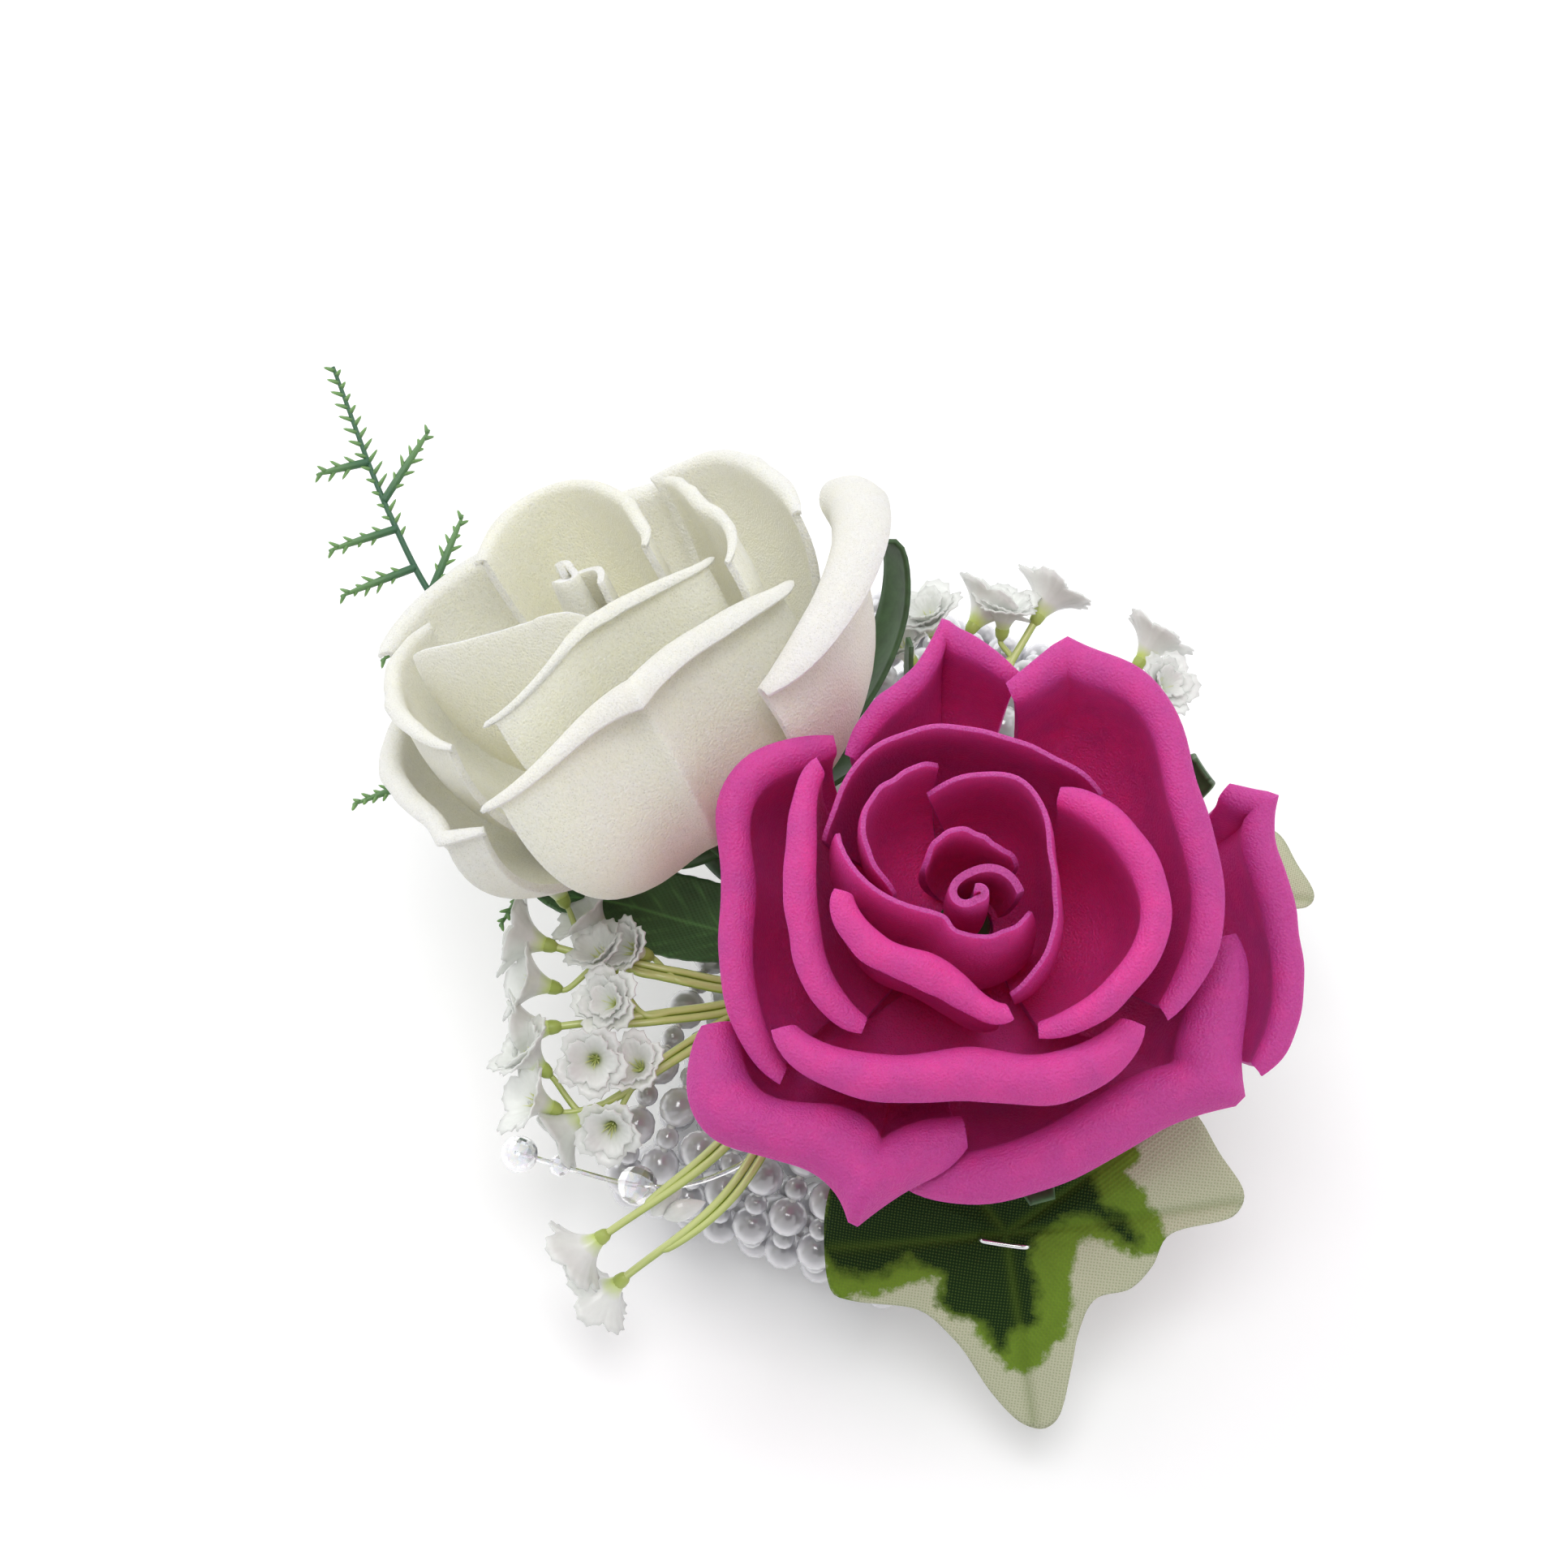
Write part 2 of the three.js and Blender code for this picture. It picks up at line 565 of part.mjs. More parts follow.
const ivoryPetals = [
  {
    angle: -50, half: 55, seatShare: 0.33, bulgeShare: 0.08, lipShare: 0, pointShares: [0, 0],
    rimShares: [0.74, 0.4, 0.26, 0.24, 0.26],
    topShares: [0.92, 0.92, 0.92, 0.92, 0.9],
  },
  {
    angle: 142, half: 79, seatShare: 0.33, bulgeShare: 0.05, lipShare: 0.02, pointShares: [0, 0],
    rimShares: [0.36, 0.36, 0.48, 0.7, 0.5],
    topShares: [0.96, 0.98, 1, 1, 0.98],
  },
  {
    angle: 12, half: 48, seatShare: 0.28, bulgeShare: 0.1, lipShare: 0.05, pointShares: [0, 0],
    rimShares: [0.9, 0.46, 0.36, 0.42, 0.62],
    topShares: [0.86, 0.88, 0.88, 0.88, 0.88],
  },
  {
    angle: 92, half: 42, seatShare: 0.235, bulgeShare: 0.06, lipShare: 0.02, pointShares: [0, 0],
    rimShares: [0.76, 0.7, 0.6, 0.62, 0.7],
    topShares: [0.9, 0.93, 0.95, 0.95, 0.93],
  },
  {
    angle: 15, half: 48, seatShare: 0.09, bulgeShare: 0.17, lipShare: 0.09, pointShares: [-0.25, 0.1],
    rimShares: [1.2, 0.84, 0.68, 0.74, 0.84],
    topShares: [0.72, 0.76, 0.76, 0.76, 0.72],
  },
  {
    angle: -95, half: 44, seatShare: 0.2, bulgeShare: 0.06, lipShare: 0.03, pointShares: [0, 0],
    rimShares: [0.94, 0.9, 0.85, 0.84, 0.88],
    topShares: [0.78, 0.8, 0.8, 0.8, 0.78],
  },
  {
    angle: 69, half: 43, seatShare: 0.05, bulgeShare: 0.09, lipShare: 0.14, pointShares: [0, 0],
    rimShares: [1.03, 1.02, 1.02, 1.06, 1.14],
    topShares: [0.62, 0.66, 0.68, 0.68, 0.66],
  },
  {
    angle: 120, half: 32, seatShare: 0.19, bulgeShare: 0.05, lipShare: 0.03, pointShares: [0, 0],
    rimShares: [0.94, 0.94, 0.98, 1.02, 0.98],
    topShares: [0.8, 0.84, 0.86, 0.86, 0.84],
  },
  {
    angle: 186, half: 50, seatShare: 0.15, bulgeShare: 0.05, lipShare: 0.04, pointShares: [0, 0],
    rimShares: [1.06, 1.04, 1.02, 1.05, 1.04],
    topShares: [0.76, 0.78, 0.8, 0.8, 0.78],
  },
  {
    angle: -86, half: 44, seatShare: 0.1, bulgeShare: 0.06, lipShare: 0.04, pointShares: [0.8, 0.1],
    rimShares: [1.06, 1.02, 0.97, 0.97, 1.02],
    topShares: [0.6, 0.58, 0.58, 0.58, 0.58],
  },
];

// Sepals: where each leaves the cup, and its route as shares of the rose's radius, outwards and up
const pinkSepals = [
  { angle: 285, routeShares: [[0.1, -0.04], [0.4, 0.06], [0.75, 0.26], [0.98, 0.46]] },
  { angle: 165, routeShares: [[0.1, -0.04], [0.35, -0.03], [0.6, 0.02], [0.8, 0.12]] },
  { angle: 45, routeShares: [[0.1, -0.04], [0.35, -0.03], [0.6, 0.02], [0.8, 0.1]] },
];
const ivorySepals = [
  { angle: 118, routeShares: [[0.1, -0.05], [0.5, -0.04], [0.95, 0.06], [1.3, 0.26], [1.42, 0.55]] },
  { angle: 85, routeShares: [[0.1, -0.05], [0.45, -0.03], [0.85, 0.1], [1.15, 0.4]] },
  { angle: 230, routeShares: [[0.1, -0.05], [0.24, -0.03], [0.38, 0.01], [0.5, 0.08]] },
];

function addRose(name, rose, petals, finish) {
  const group = new THREE.Group();
  group.applyMatrix4(rose.frame);
  addPiece(`${name}_bud`, budGeometry(rose), finish, group);
  petals.forEach((petal, i) => addPiece(`${name}_petal_${i + 1}`, petalGeometry(rose, petal), finish, group));
  addPiece(`${name}_calyx`, calyxGeometry(rose), calyxFinish, group);
  corsage.add(group);
}

addRose('pink', {
  frame: roseFrame(pinkBase, pinkAxis, pinkFacing),
  radius: pinkRadius,
  height: pinkHeight,
  budRadius: pinkBudRadius,
  budTurns: pinkBudTurns,
  budEndAngle: pinkBudEndAngle,
  leanShares: pinkLeanShares,
  knee: pinkKnee,
  side: 1,
  sepals: pinkSepals,
}, pinkPetals, pinkFinish);
addRose('ivory', {
  frame: roseFrame(ivoryBase, ivoryAxis, ivoryFacing),
  radius: ivoryRadius,
  height: ivoryHeight,
  budRadius: ivoryBudRadius,
  budTurns: ivoryBudTurns,
  budEndAngle: ivoryBudEndAngle,
  leanShares: ivoryLeanShares,
  knee: ivoryKnee,
  side: -1,
  sepals: ivorySepals,
}, ivoryPetals, ivoryFinish);

// Ivy leaf: a five-lobed outline round the leaf's heart, as shares of its reach, across and up the leaf
const ivyOutlineShares = [
  [-0.81, -0.01], [-0.73, -0.39], [-0.65, -0.41], [-0.33, -0.41], [-0.16, -0.51], [0.03, -0.74],
  [0.19, -0.87], [0.28, -0.88], [0.34, -0.82], [0.37, -0.58], [0.38, -0.4], [0.43, -0.23],
  [0.58, -0.17], [0.66, -0.06], [0.71, 0.09], [0.99, 0.21], [1.02, 0.3], [0.88, 0.48],
  [0.75, 0.64], [0.66, 0.67], [0.54, 0.65], [0.3, 0.5], [0.08, 0.38], [-0.15, 0.52],
  [-0.45, 0.55], [-0.7, 0.35],
];
const ivyRings = 2;
const ivyDroopShare = 0.12;
function ivyGeometry(reach) {
  const points = [];
  const count = ivyOutlineShares.length;
  const place = (ring, i, side) => {
    const [x, y] = ivyOutlineShares[i];
    const k = ring / ivyRings;
    const droop = -reach * ivyDroopShare * k * k * (x * x + y * y);
    return [x * k * reach, y * k * reach, droop + side * leafThickness / 2];
  };
  for (const side of [1, -1]) {
    points.push(...place(0, 0, side));
    for (let ring = 1; ring <= ivyRings; ring += 1) {
      for (let i = 0; i < count; i += 1) points.push(...place(ring, i, side));
    }
  }
  const layer = 1 + ivyRings * count;
  const at = (side, ring, i) => side * layer + 1 + (ring - 1) * count + (i % count);
  const index = [];
  for (let i = 0; i < count; i += 1) {
    index.push(0, at(0, 1, i), at(0, 1, i + 1));
    index.push(layer, at(1, 1, i + 1), at(1, 1, i));
    for (let ring = 1; ring < ivyRings; ring += 1) {
      index.push(at(0, ring, i), at(0, ring + 1, i), at(0, ring + 1, i + 1));
      index.push(at(0, ring, i), at(0, ring + 1, i + 1), at(0, ring, i + 1));
      index.push(at(1, ring, i), at(1, ring + 1, i + 1), at(1, ring + 1, i));
      index.push(at(1, ring, i), at(1, ring, i + 1), at(1, ring + 1, i + 1));
    }
    index.push(at(0, ivyRings, i), at(1, ivyRings, i), at(1, ivyRings, i + 1));
    index.push(at(0, ivyRings, i), at(1, ivyRings, i + 1), at(0, ivyRings, i + 1));
  }
  const leaf = new THREE.BufferGeometry();
  leaf.setAttribute('position', new THREE.Float32BufferAttribute(points, 3));
  leaf.setIndex(index);
  return leaf;
}

function leafFrame(heart, across, up) {
  const x = across.clone().normalize();
  const y = up.clone().addScaledVector(x, -up.dot(x)).normalize();
  return new THREE.Matrix4().makeBasis(x, y, x.clone().cross(y)).setPosition(heart);
}

// Points where stalks and springy stems end beside the bundle
function besideBundle(along, sideways, height) {
  const sideDirection = new THREE.Vector3(-bundleDirection.y, bundleDirection.x, 0);
  const point = bundleMiddle.clone().addScaledVector(bundleDirection, along * bundleLength / 2);
  return point.addScaledVector(sideDirection, sideways).setZ(height);
}
const besideReach = bundleDiameter / 2 + seatGap;
const stalkHeight = plateTop + seatGap + stalkDiameter / 2;

const ivyTopShare = 0.5;
const ivyHeart = ivyTop.clone().addScaledVector(ivyUp, -ivyReach * ivyTopShare);
const ivyFrame = leafFrame(ivyHeart, ivyAcross, ivyUp);
const ivyLeaf = ivyGeometry(ivyReach).applyMatrix4(ivyFrame);
const inLeaf = (frame, reach, x, y, z) => new THREE.Vector3(x * reach, y * reach, z).applyMatrix4(frame);
const ivyStalkShares = [[0.04, 0.2, -0.5], [0.02, 0.5, -1]];
const ivyStalkKneeShares = [0.54, -0.67];
const ivyRootShare = 0.8;
const ivyStalk = new THREE.CatmullRomCurve3([
  ...ivyStalkShares.map(([x, y, z]) => inLeaf(ivyFrame, ivyReach, x, y, z * stalkDiameter)),
  new THREE.Vector3(ivyStalkKneeShares[0] * ivyReach, ivyStalkKneeShares[1] * ivyReach, stalkHeight),
  besideBundle(ivyRootShare, -besideReach - stalkDiameter / 2, stalkHeight),
]);
const thinSides = 2;
addPiece('ivy_leaf', fuse([ivyLeaf, tube(ivyStalk, stalkDiameter, thinSides)]), ivyFinish);

const staplePlaceShare = 0.04;
const staple = new THREE.CapsuleGeometry(stapleDiameter / 2, stapleLength, 1, 6);
staple.rotateZ(Math.PI / 2);
const stapleHeight = leafThickness / 2 + stapleDiameter / 2 + seatGap;
staple.translate(0, -ivyReach * staplePlaceShare, stapleHeight);
addPiece('leaf_staple', outwardGeometry(staple.applyMatrix4(ivyFrame)), wireFinish);

const smallIvyFrame = leafFrame(smallIvyHeart, smallIvyAcross, smallIvyUp);
const smallIvyLeaf = ivyGeometry(smallIvyReach).applyMatrix4(smallIvyFrame);
const smallIvyStalkKneeShares = [0.89, 0.11];
const smallIvyRootShare = 0.6;
const smallIvyStalk = new THREE.CatmullRomCurve3([
  inLeaf(smallIvyFrame, smallIvyReach, 0, 0, -stalkDiameter / 2),
  new THREE.Vector3(
    smallIvyStalkKneeShares[0] * smallIvyReach,
    smallIvyStalkKneeShares[1] * smallIvyReach,
    stalkHeight,
  ),
  besideBundle(smallIvyRootShare, besideReach + stalkDiameter / 2, stalkHeight),
]);
addPiece('small_ivy_leaf', fuse([smallIvyLeaf, tube(smallIvyStalk, stalkDiameter, thinSides)]), ivyFinish);

// A curve from a root through points whose offsets from the root are shares of a reach
function routeFrom(root, reach, shares) {
  const points = shares.map((share) => root.clone().addScaledVector(new THREE.Vector3(...share), reach));
  return new THREE.CatmullRomCurve3([root, ...points]);
}

// Green rose leaf under the ivory rose
const roseLeafRootShare = -0.5;
const roseLeafRouteShares = [[-0.304, -0.081, 0.049], [-0.561, -0.121, 0.077], [-0.788, -0.171, 0.034]];
const roseLeafAcross = new THREE.Vector3(0.25, 0.95, 0.2).normalize();
const roseLeafWidthShare = 0.286;
const roseLeafFullness = 0.8;
const roseLeafTipShare = 0.08;
const roseLeafRoute = routeFrom(
  besideBundle(roseLeafRootShare, -besideReach - roseLeafFoot, plateTop + seatGap + stalkDiameter),
  roseLeafReach,
  roseLeafRouteShares,
);
const roseLeafSurface = (u, v) => {
  const swell = Math.sin(Math.PI * v ** roseLeafFullness) ** roseLeafFullness;
  const width = roseLeafReach * roseLeafWidthShare * (swell * (1 - roseLeafTipShare) + roseLeafTipShare);
  return roseLeafRoute.getPoint(v).addScaledVector(roseLeafAcross, (u - 1 / 2) * width);
};
addPiece('rose_leaf', sheet(roseLeafSurface, stops(2), stops(7), leafThickness), leafFinish);

// Needles stand along a stem, on both sides, leaning towards its tip, but not beside a sprig
const needleLean = 0.8;
const needleSides = 3;
function needles(curve, from, length, flat, sprigShares = []) {
  const cones = [];
  const whole = curve.getLength();
  const count = Math.round(whole * (1 - from) / needleSpacing);
  for (let i = 0; i < count; i += 1) {
    const t = from + (1 - from) * (i + 1 / 2) / count;
    const at = curve.getPointAt(t);
    const ahead = curve.getTangentAt(t);
    const sideways = ahead.clone().cross(flat).normalize();
    const freeSides = [1, -1].filter((sign) => !sprigShares.some(
      ([place, side]) => side === sign && Math.abs(place - t) * whole < sprigClearance,
    ));
    for (const sign of freeSides) {
      const direction = sideways.clone().multiplyScalar(sign).addScaledVector(ahead, needleLean).normalize();
      const cone = new THREE.ConeGeometry(needleDiameter / 2, length, needleSides);
      cone.translate(0, length / 2, 0);
      cone.applyQuaternion(new THREE.Quaternion().setFromUnitVectors(new THREE.Vector3(0, 1, 0), direction));
      cone.translate(at.x, at.y, at.z);
      cones.push(cone);
    }
  }
  return cones;
}

// Side sprigs: place along the stem, side, length as a share of the reach, and lean towards the tip
const sprigNeedleStartShare = 0.45;
const sprigNeedleShare = 0.8;
function sprigs(curve, shares, reach, flat) {
  return shares.flatMap(([t, sign, lengthShare, lean]) => {
    const length = reach * lengthShare;
    const at = curve.getPointAt(t);
    const ahead = curve.getTangentAt(t);
    const sideways = ahead.clone().cross(flat).normalize().multiplyScalar(sign);
    const tip = at.clone().addScaledVector(sideways, length).addScaledVector(ahead, lean * length);
    const line = new THREE.LineCurve3(at, tip);
    const rod = tube(line, sprigDiameter, thinSides, 1);
    return [rod, ...needles(line, sprigNeedleStartShare, needleLength * sprigNeedleShare, flat)];
  });
}

const fernHeight = plateTop + 2 * seatGap + fernStemDiameter / 2;
const fernRootShare = -0.9;
const fernRouteShares = [
  [-0.121, 0.019, -0.002], [-0.246, 0.063, -0.03], [-0.371, 0.095, -0.039],
  [-0.604, 0.173, 0.043], [-0.721, 0.257, 0.105], [-0.876, 0.408, 0.18],
];
const fernSprigShares = [
  [0.86, -1, 0.075, 0.1], [0.8, 1, 0.1, 0.7], [0.76, -1, 0.1, 0.1],
  [0.7, -1, 0.11, 0.1], [0.66, 1, 0.1, 0.7], [0.62, -1, 0.11, 0.1],
];
const needleStartShare = 0.62;
const fernRoute = routeFrom(
  besideBundle(fernRootShare, besideReach + fernStemDiameter / 2, fernHeight),
  fernReach,
  fernRouteShares,
);
const frondFlat = new THREE.Vector3(0.3, -0.35, 0.9).normalize();
addPiece('fern_frond', fuse([
  tube(fernRoute, fernStemDiameter, thinSides),
  ...needles(fernRoute, needleStartShare, needleLength, frondFlat, fernSprigShares),
  ...sprigs(fernRoute, fernSprigShares, fernReach, frondFlat),
]), fernFinish);

const lowFernRouteShares = [[-0.277, 0.04, -0.021], [-0.547, 0.021, -0.031], [-0.817, 0.04, 0.027]];
const lowSprigShares = [
  [0.97, -1, 0.154, 0.8], [0.85, 1, 0.154, 0.6], [0.75, 1, 0.173, 0.4], [0.62, -1, 0.23, 0.2],
];
const lowFernRoute = routeFrom(
  besideBundle(fernRootShare, -besideReach - fernStemDiameter / 2, fernHeight),
  lowFernReach,
  lowFernRouteShares,
);
const lowFlat = new THREE.Vector3(0, 0, 1);
addPiece('low_fern', fuse([
  tube(lowFernRoute, fernStemDiameter, thinSides),
  ...sprigs(lowFernRoute, lowSprigShares, lowFernReach, lowFlat),
]), fernFinish);

// Gypsophila: thin stems that end in small trumpet flowers
const flowerSides = 5;
const flowerProfileShares = [[0, 0], [0.35, 0.4], [1, 1], [0, 0.7]];
const flowerPlaceShare = 0.98;
function flower(at, direction) {
  const trumpet = new THREE.LatheGeometry(
    flowerProfileShares.map(([r, h]) => new THREE.Vector2(r * flowerRadius, h * flowerDepth)),
    flowerSides,
  );
  trumpet.applyQuaternion(new THREE.Quaternion().setFromUnitVectors(new THREE.Vector3(0, 1, 0), direction));
  return trumpet.translate(at.x, at.y, at.z);
}

// A spray: its root's place along the bundle and side of it, and the stems' points as shares of the reach
const gypHeight = plateTop + seatGap + gypStemDiameter / 2;
function gypSpray({ rootShare, side, stemShares }) {
  const root = besideBundle(rootShare, side * (besideReach + gypStemDiameter / 2), gypHeight);
  return fuse(stemShares.flatMap((shares) => {
    const route = routeFrom(root, gypReach, shares);
    return [
      tube(route, gypStemDiameter, thinSides),
      flower(route.getPointAt(flowerPlaceShare), route.getTangentAt(1)),
    ];
  }));
}

addPiece('gyp_left', gypSpray({
  rootShare: -0.1,
  side: -1,
  stemShares: [
    [[-0.11, -0.221, 0.035], [-0.31, -0.321, 0.123], [-0.66, -0.371, 0.147]],
    [[-0.11, -0.246, 0.035], [-0.31, -0.421, 0.098], [-0.56, -0.571, 0.098]],
    [[-0.085, -0.271, 0.035], [-0.235, -0.546, 0.072], [-0.385, -0.746, 0.022]],
  ],
}), gypFinish);
addPiece('gyp_low', gypSpray({
  rootShare: 0.3,
  side: -1,
  stemShares: [
    [[-0.009, -0.356, 0.058], [-0.059, -0.706, 0.098], [-0.309, -1.006, -0.128]],
    [[0.016, -0.356, 0.058], [-0.009, -0.806, 0.072], [-0.234, -1.056, -0.253]],
  ],
}), gypFinish);
addPiece('gyp_rear', gypSpray({
  rootShare: 0.1,
  side: 1,
  stemShares: [
    [[-0.003, 0.345, 0.013], [-0.041, 0.695, 0.013], [0.004, 0.895, 0.072]],
    [[0.047, 0.345, 0.013], [0.122, 0.745, 0.013], [0.162, 0.995, 0.072]],
    [[0.122, 0.345, 0.013], [0.422, 0.745, 0.013], [0.482, 0.97, 0.072]],
  ],
}), gypFinish);

// Clear beads on a nylon line
const lineHeight = plateTop + seatGap + lineDiameter / 2;
const lineRootShare = 0.6;
const lineRouteShares = [
  [0.009, -0.326, 0.002], [-0.035, -0.549, -0.042], [-0.213, -0.726, -0.073], [-0.602, -0.789, -0.087],
];
const beadLine = routeFrom(
  besideBundle(lineRootShare, -besideReach - lineDiameter / 2, lineHeight),
  lineReach,
  lineRouteShares,
);
const beadPlaceShares = { end: 0.985, middle: 0.72, near: 0.42 };
function beadAt(t, diameter) {
  const at = beadLine.getPointAt(t);
  return new THREE.IcosahedronGeometry(diameter / 2, 0).translate(at.x, at.y, at.z);
}
addPiece('bead_spray', fuse([
  tube(beadLine, lineDiameter, thinSides),
  beadAt(beadPlaceShares.end, roundBeadDiameter),
  beadAt(beadPlaceShares.middle, facetBeadDiameter),
  beadAt(beadPlaceShares.near, facetBeadDiameter),
]), clearFinish);

export default corsage;
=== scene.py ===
"""Wrist corsage: two foam roses, ivy, fern, gypsophila and clear beads on a stretch bracelet of pearls.

The file is laid out as an add-on and is run as a script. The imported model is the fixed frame; every
visible piece except the backing plate is a surface worked out here, in the same frame. Routes and tables
are in millimetres.
"""

import math

import bpy
import numpy as np
from mathutils import Matrix, Vector


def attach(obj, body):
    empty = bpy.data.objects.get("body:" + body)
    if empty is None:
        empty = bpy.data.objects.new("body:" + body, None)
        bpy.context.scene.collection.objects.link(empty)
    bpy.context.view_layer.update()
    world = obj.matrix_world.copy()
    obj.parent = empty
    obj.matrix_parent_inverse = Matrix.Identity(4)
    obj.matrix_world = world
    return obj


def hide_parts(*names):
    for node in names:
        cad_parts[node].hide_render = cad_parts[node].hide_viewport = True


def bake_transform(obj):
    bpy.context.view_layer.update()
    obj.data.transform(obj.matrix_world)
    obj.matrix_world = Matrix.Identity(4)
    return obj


bl_info = {
    "name": "Wrist Corsage",
    "version": (1, 0, 0),
    "blender": (4, 5, 0),
    "location": "3D View > Sidebar > Corsage",
    "description": "Builds a pearl wrist corsage with two foam roses",
    "category": "Object",
}

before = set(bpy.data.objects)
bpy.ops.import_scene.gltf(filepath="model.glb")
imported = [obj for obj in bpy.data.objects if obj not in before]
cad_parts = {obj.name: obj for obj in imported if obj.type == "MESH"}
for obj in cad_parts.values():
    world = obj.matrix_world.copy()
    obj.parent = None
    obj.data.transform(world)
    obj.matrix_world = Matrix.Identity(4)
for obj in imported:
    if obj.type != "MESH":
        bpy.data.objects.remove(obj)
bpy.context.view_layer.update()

MM = 0.001
ROOT = "arrangement"
SEAT_GAP = 0.3

# Pad, pearls and plate, and the loop of the strands
PEARL_PITCH = 7.2
SITE_PITCH = PEARL_PITCH / 2
PITCHES_AROUND = 25
STRAND_COUNT = 9
BEND_RADIUS = 10.5
BIG_PEARL = 4.4
SMALL_PEARL = 2.6
PAD_WIDTH = 34
PAD_LENGTH = 44
PAD_THICKNESS = 1.5
PLATE_THICKNESS = 1.8
STRAND_HEIGHT = PAD_THICKNESS + SEAT_GAP + BIG_PEARL / 2
PLATE_TOP = STRAND_HEIGHT + BIG_PEARL / 2 + SEAT_GAP + PLATE_THICKNESS
LOOP_LENGTH = PEARL_PITCH * PITCHES_AROUND
HALF_STRAIGHT = (LOOP_LENGTH / 2 - math.pi * BEND_RADIUS) / 2
TOP_REACH = int(HALF_STRAIGHT // SITE_PITCH)
SITE_COUNT = 2 * PITCHES_AROUND
STRAND_SPACING = BIG_PEARL / 2 + SMALL_PEARL / 2 + SEAT_GAP
FLOOR_HEIGHT = STRAND_HEIGHT - 2 * BEND_RADIUS - BIG_PEARL / 2

# The bundle of stems
BUNDLE_DIAMETER = 4.6
BUNDLE_LENGTH = 15
BUNDLE_HEIGHT = PLATE_TOP + SEAT_GAP + BUNDLE_DIAMETER / 2
ROSE_STEM = 2.4

# Petals
FOAM_THICKNESS = 1.0
RIM_THINNING = 0.5
BUD_THICKNESS = 0.8
BUD_INNER_RADIUS = 0.9
SPIKE_DIAMETER = 4.4
SPIKE_SHARE = 0.48
CUP_DIAMETER = 11
CUP_DEPTH = 3
SEPAL_WIDTH = 6
SEPAL_THICKNESS = 0.5
FOOT_RADIUS = SPIKE_DIAMETER / 2 + SEAT_GAP + FOAM_THICKNESS / 2
FOOT_SPREAD = 0.6
CUP_SHARE = 0.72
POINT_WIDTH = 0.16
LIP_TURN = math.radians(150)
SLOW_RUFFLE = 0.15
FINE_RUFFLE = 0.06
RUFFLE_LIFT = 0.8
PETAL_EDGE = 0.2
BUD_EDGE = 0.18
BUD_CLOSING = 0.4
BUD_FLATTENING = 0.6
BUD_WAVE = 0.7
BUD_DROP = 2.6

# The camera stands where the photograph was taken from
CAMERA_AZIMUTH = math.radians(23)
CAMERA_ELEVATION = math.radians(62)
CAMERA_DISTANCE = 450
CAMERA_FOCAL_PIXELS = 4860
IMAGE_SIZE = (1930, 1932)
TARGET = (0, 0, -7.3)
TARGET_PIXEL = (1092, 1158)
SENSOR_WIDTH = 36

# The white room and the table; mirrors see a dark card where the camera stands
WORLD_STRENGTH = 0.68
DARK_CARD = (0.3, 0.29, 0.28)
FLOOR_LIFT = 0.15
FLOOR_REACH = 3000
FLOOR_GAP = 0.05

# Each lamp: its place and side in millimetres, and its power in watts
LAMPS = {
    "softbox_left": ((-520, 160, 420), 420, 1.4),
    "softbox_right": ((480, 220, 400), 360, 0.4),
    "softbox_back": ((60, 620, 360), 460, 0.7),
    "softbox_above": ((30, -110, 680), 300, 1.5),
}

# Fineness of curves and surfaces
CURVE_STEPS = 24
PEARL_RINGS = 8
PEARL_SIDES = 12
BRIDGE_POINTS = 24
BUNDLE_POINTS = 97
BUNDLE_SIDES = 28
STEM_POINTS = 40
CALYX_SIDES = 28
SEPAL_COLUMNS = 9
SEPAL_ROWS = 36
PETAL_ROWS = 30
BUD_ROWS = 24
BRANCH_POINTS = 70
FROND_POINTS = 120
SPRIG_POINTS = 40
LINE_POINTS = 120
LEAF_ROWS = 60
LEAF_COLUMNS = 31
OUTLINE_POINTS = 220
OVAL_SIDES = 72

WHITE, BLACK = (1, 1, 1), (0, 0, 0)

# Mesh making


def make_object(name, points, faces, materials, finish=None, uv=None, masks=None, flat=False):
    """One object at the origin from points in millimetres. finish gives each face's material, uv and masks
    give each point's pattern place and named shares."""
    mesh = bpy.data.meshes.new(name)
    mesh.from_pydata((np.asarray(points) * MM).tolist(), [], [list(face) for face in faces])
    for material in materials:
        mesh.materials.append(material)
    if finish is not None:
        mesh.polygons.foreach_set("material_index", np.asarray(finish, np.int32))
    if uv is not None:
        corners = np.zeros(len(mesh.loops), np.int32)
        mesh.loops.foreach_get("vertex_index", corners)
        layer = mesh.uv_layers.new(name="pattern")
        layer.data.foreach_set("uv", np.asarray(uv, np.float32)[corners].ravel())
    for label, values in (masks or {}).items():
        mesh.attributes.new(label, "FLOAT", "POINT").data.foreach_set("value", np.asarray(values, np.float32))
    mesh.polygons.foreach_set("use_smooth", np.full(len(mesh.polygons), not flat))
    mesh.update()
    made = bpy.data.objects.new(name, mesh)
    bpy.context.scene.collection.objects.link(made)
    return made


def settle(made, slot, *nodes, body=ROOT):
    """The piece stands for its nodes and rides its body; the slot is not used."""
    if nodes:
        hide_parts(*nodes)
    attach(made, body)
    return made


def unit(vectors):
    """Vectors scaled to length one along the last axis."""
    vectors = np.asarray(vectors, float)
    return vectors / np.maximum(np.linalg.norm(vectors, axis=-1, keepdims=True), 1e-12)


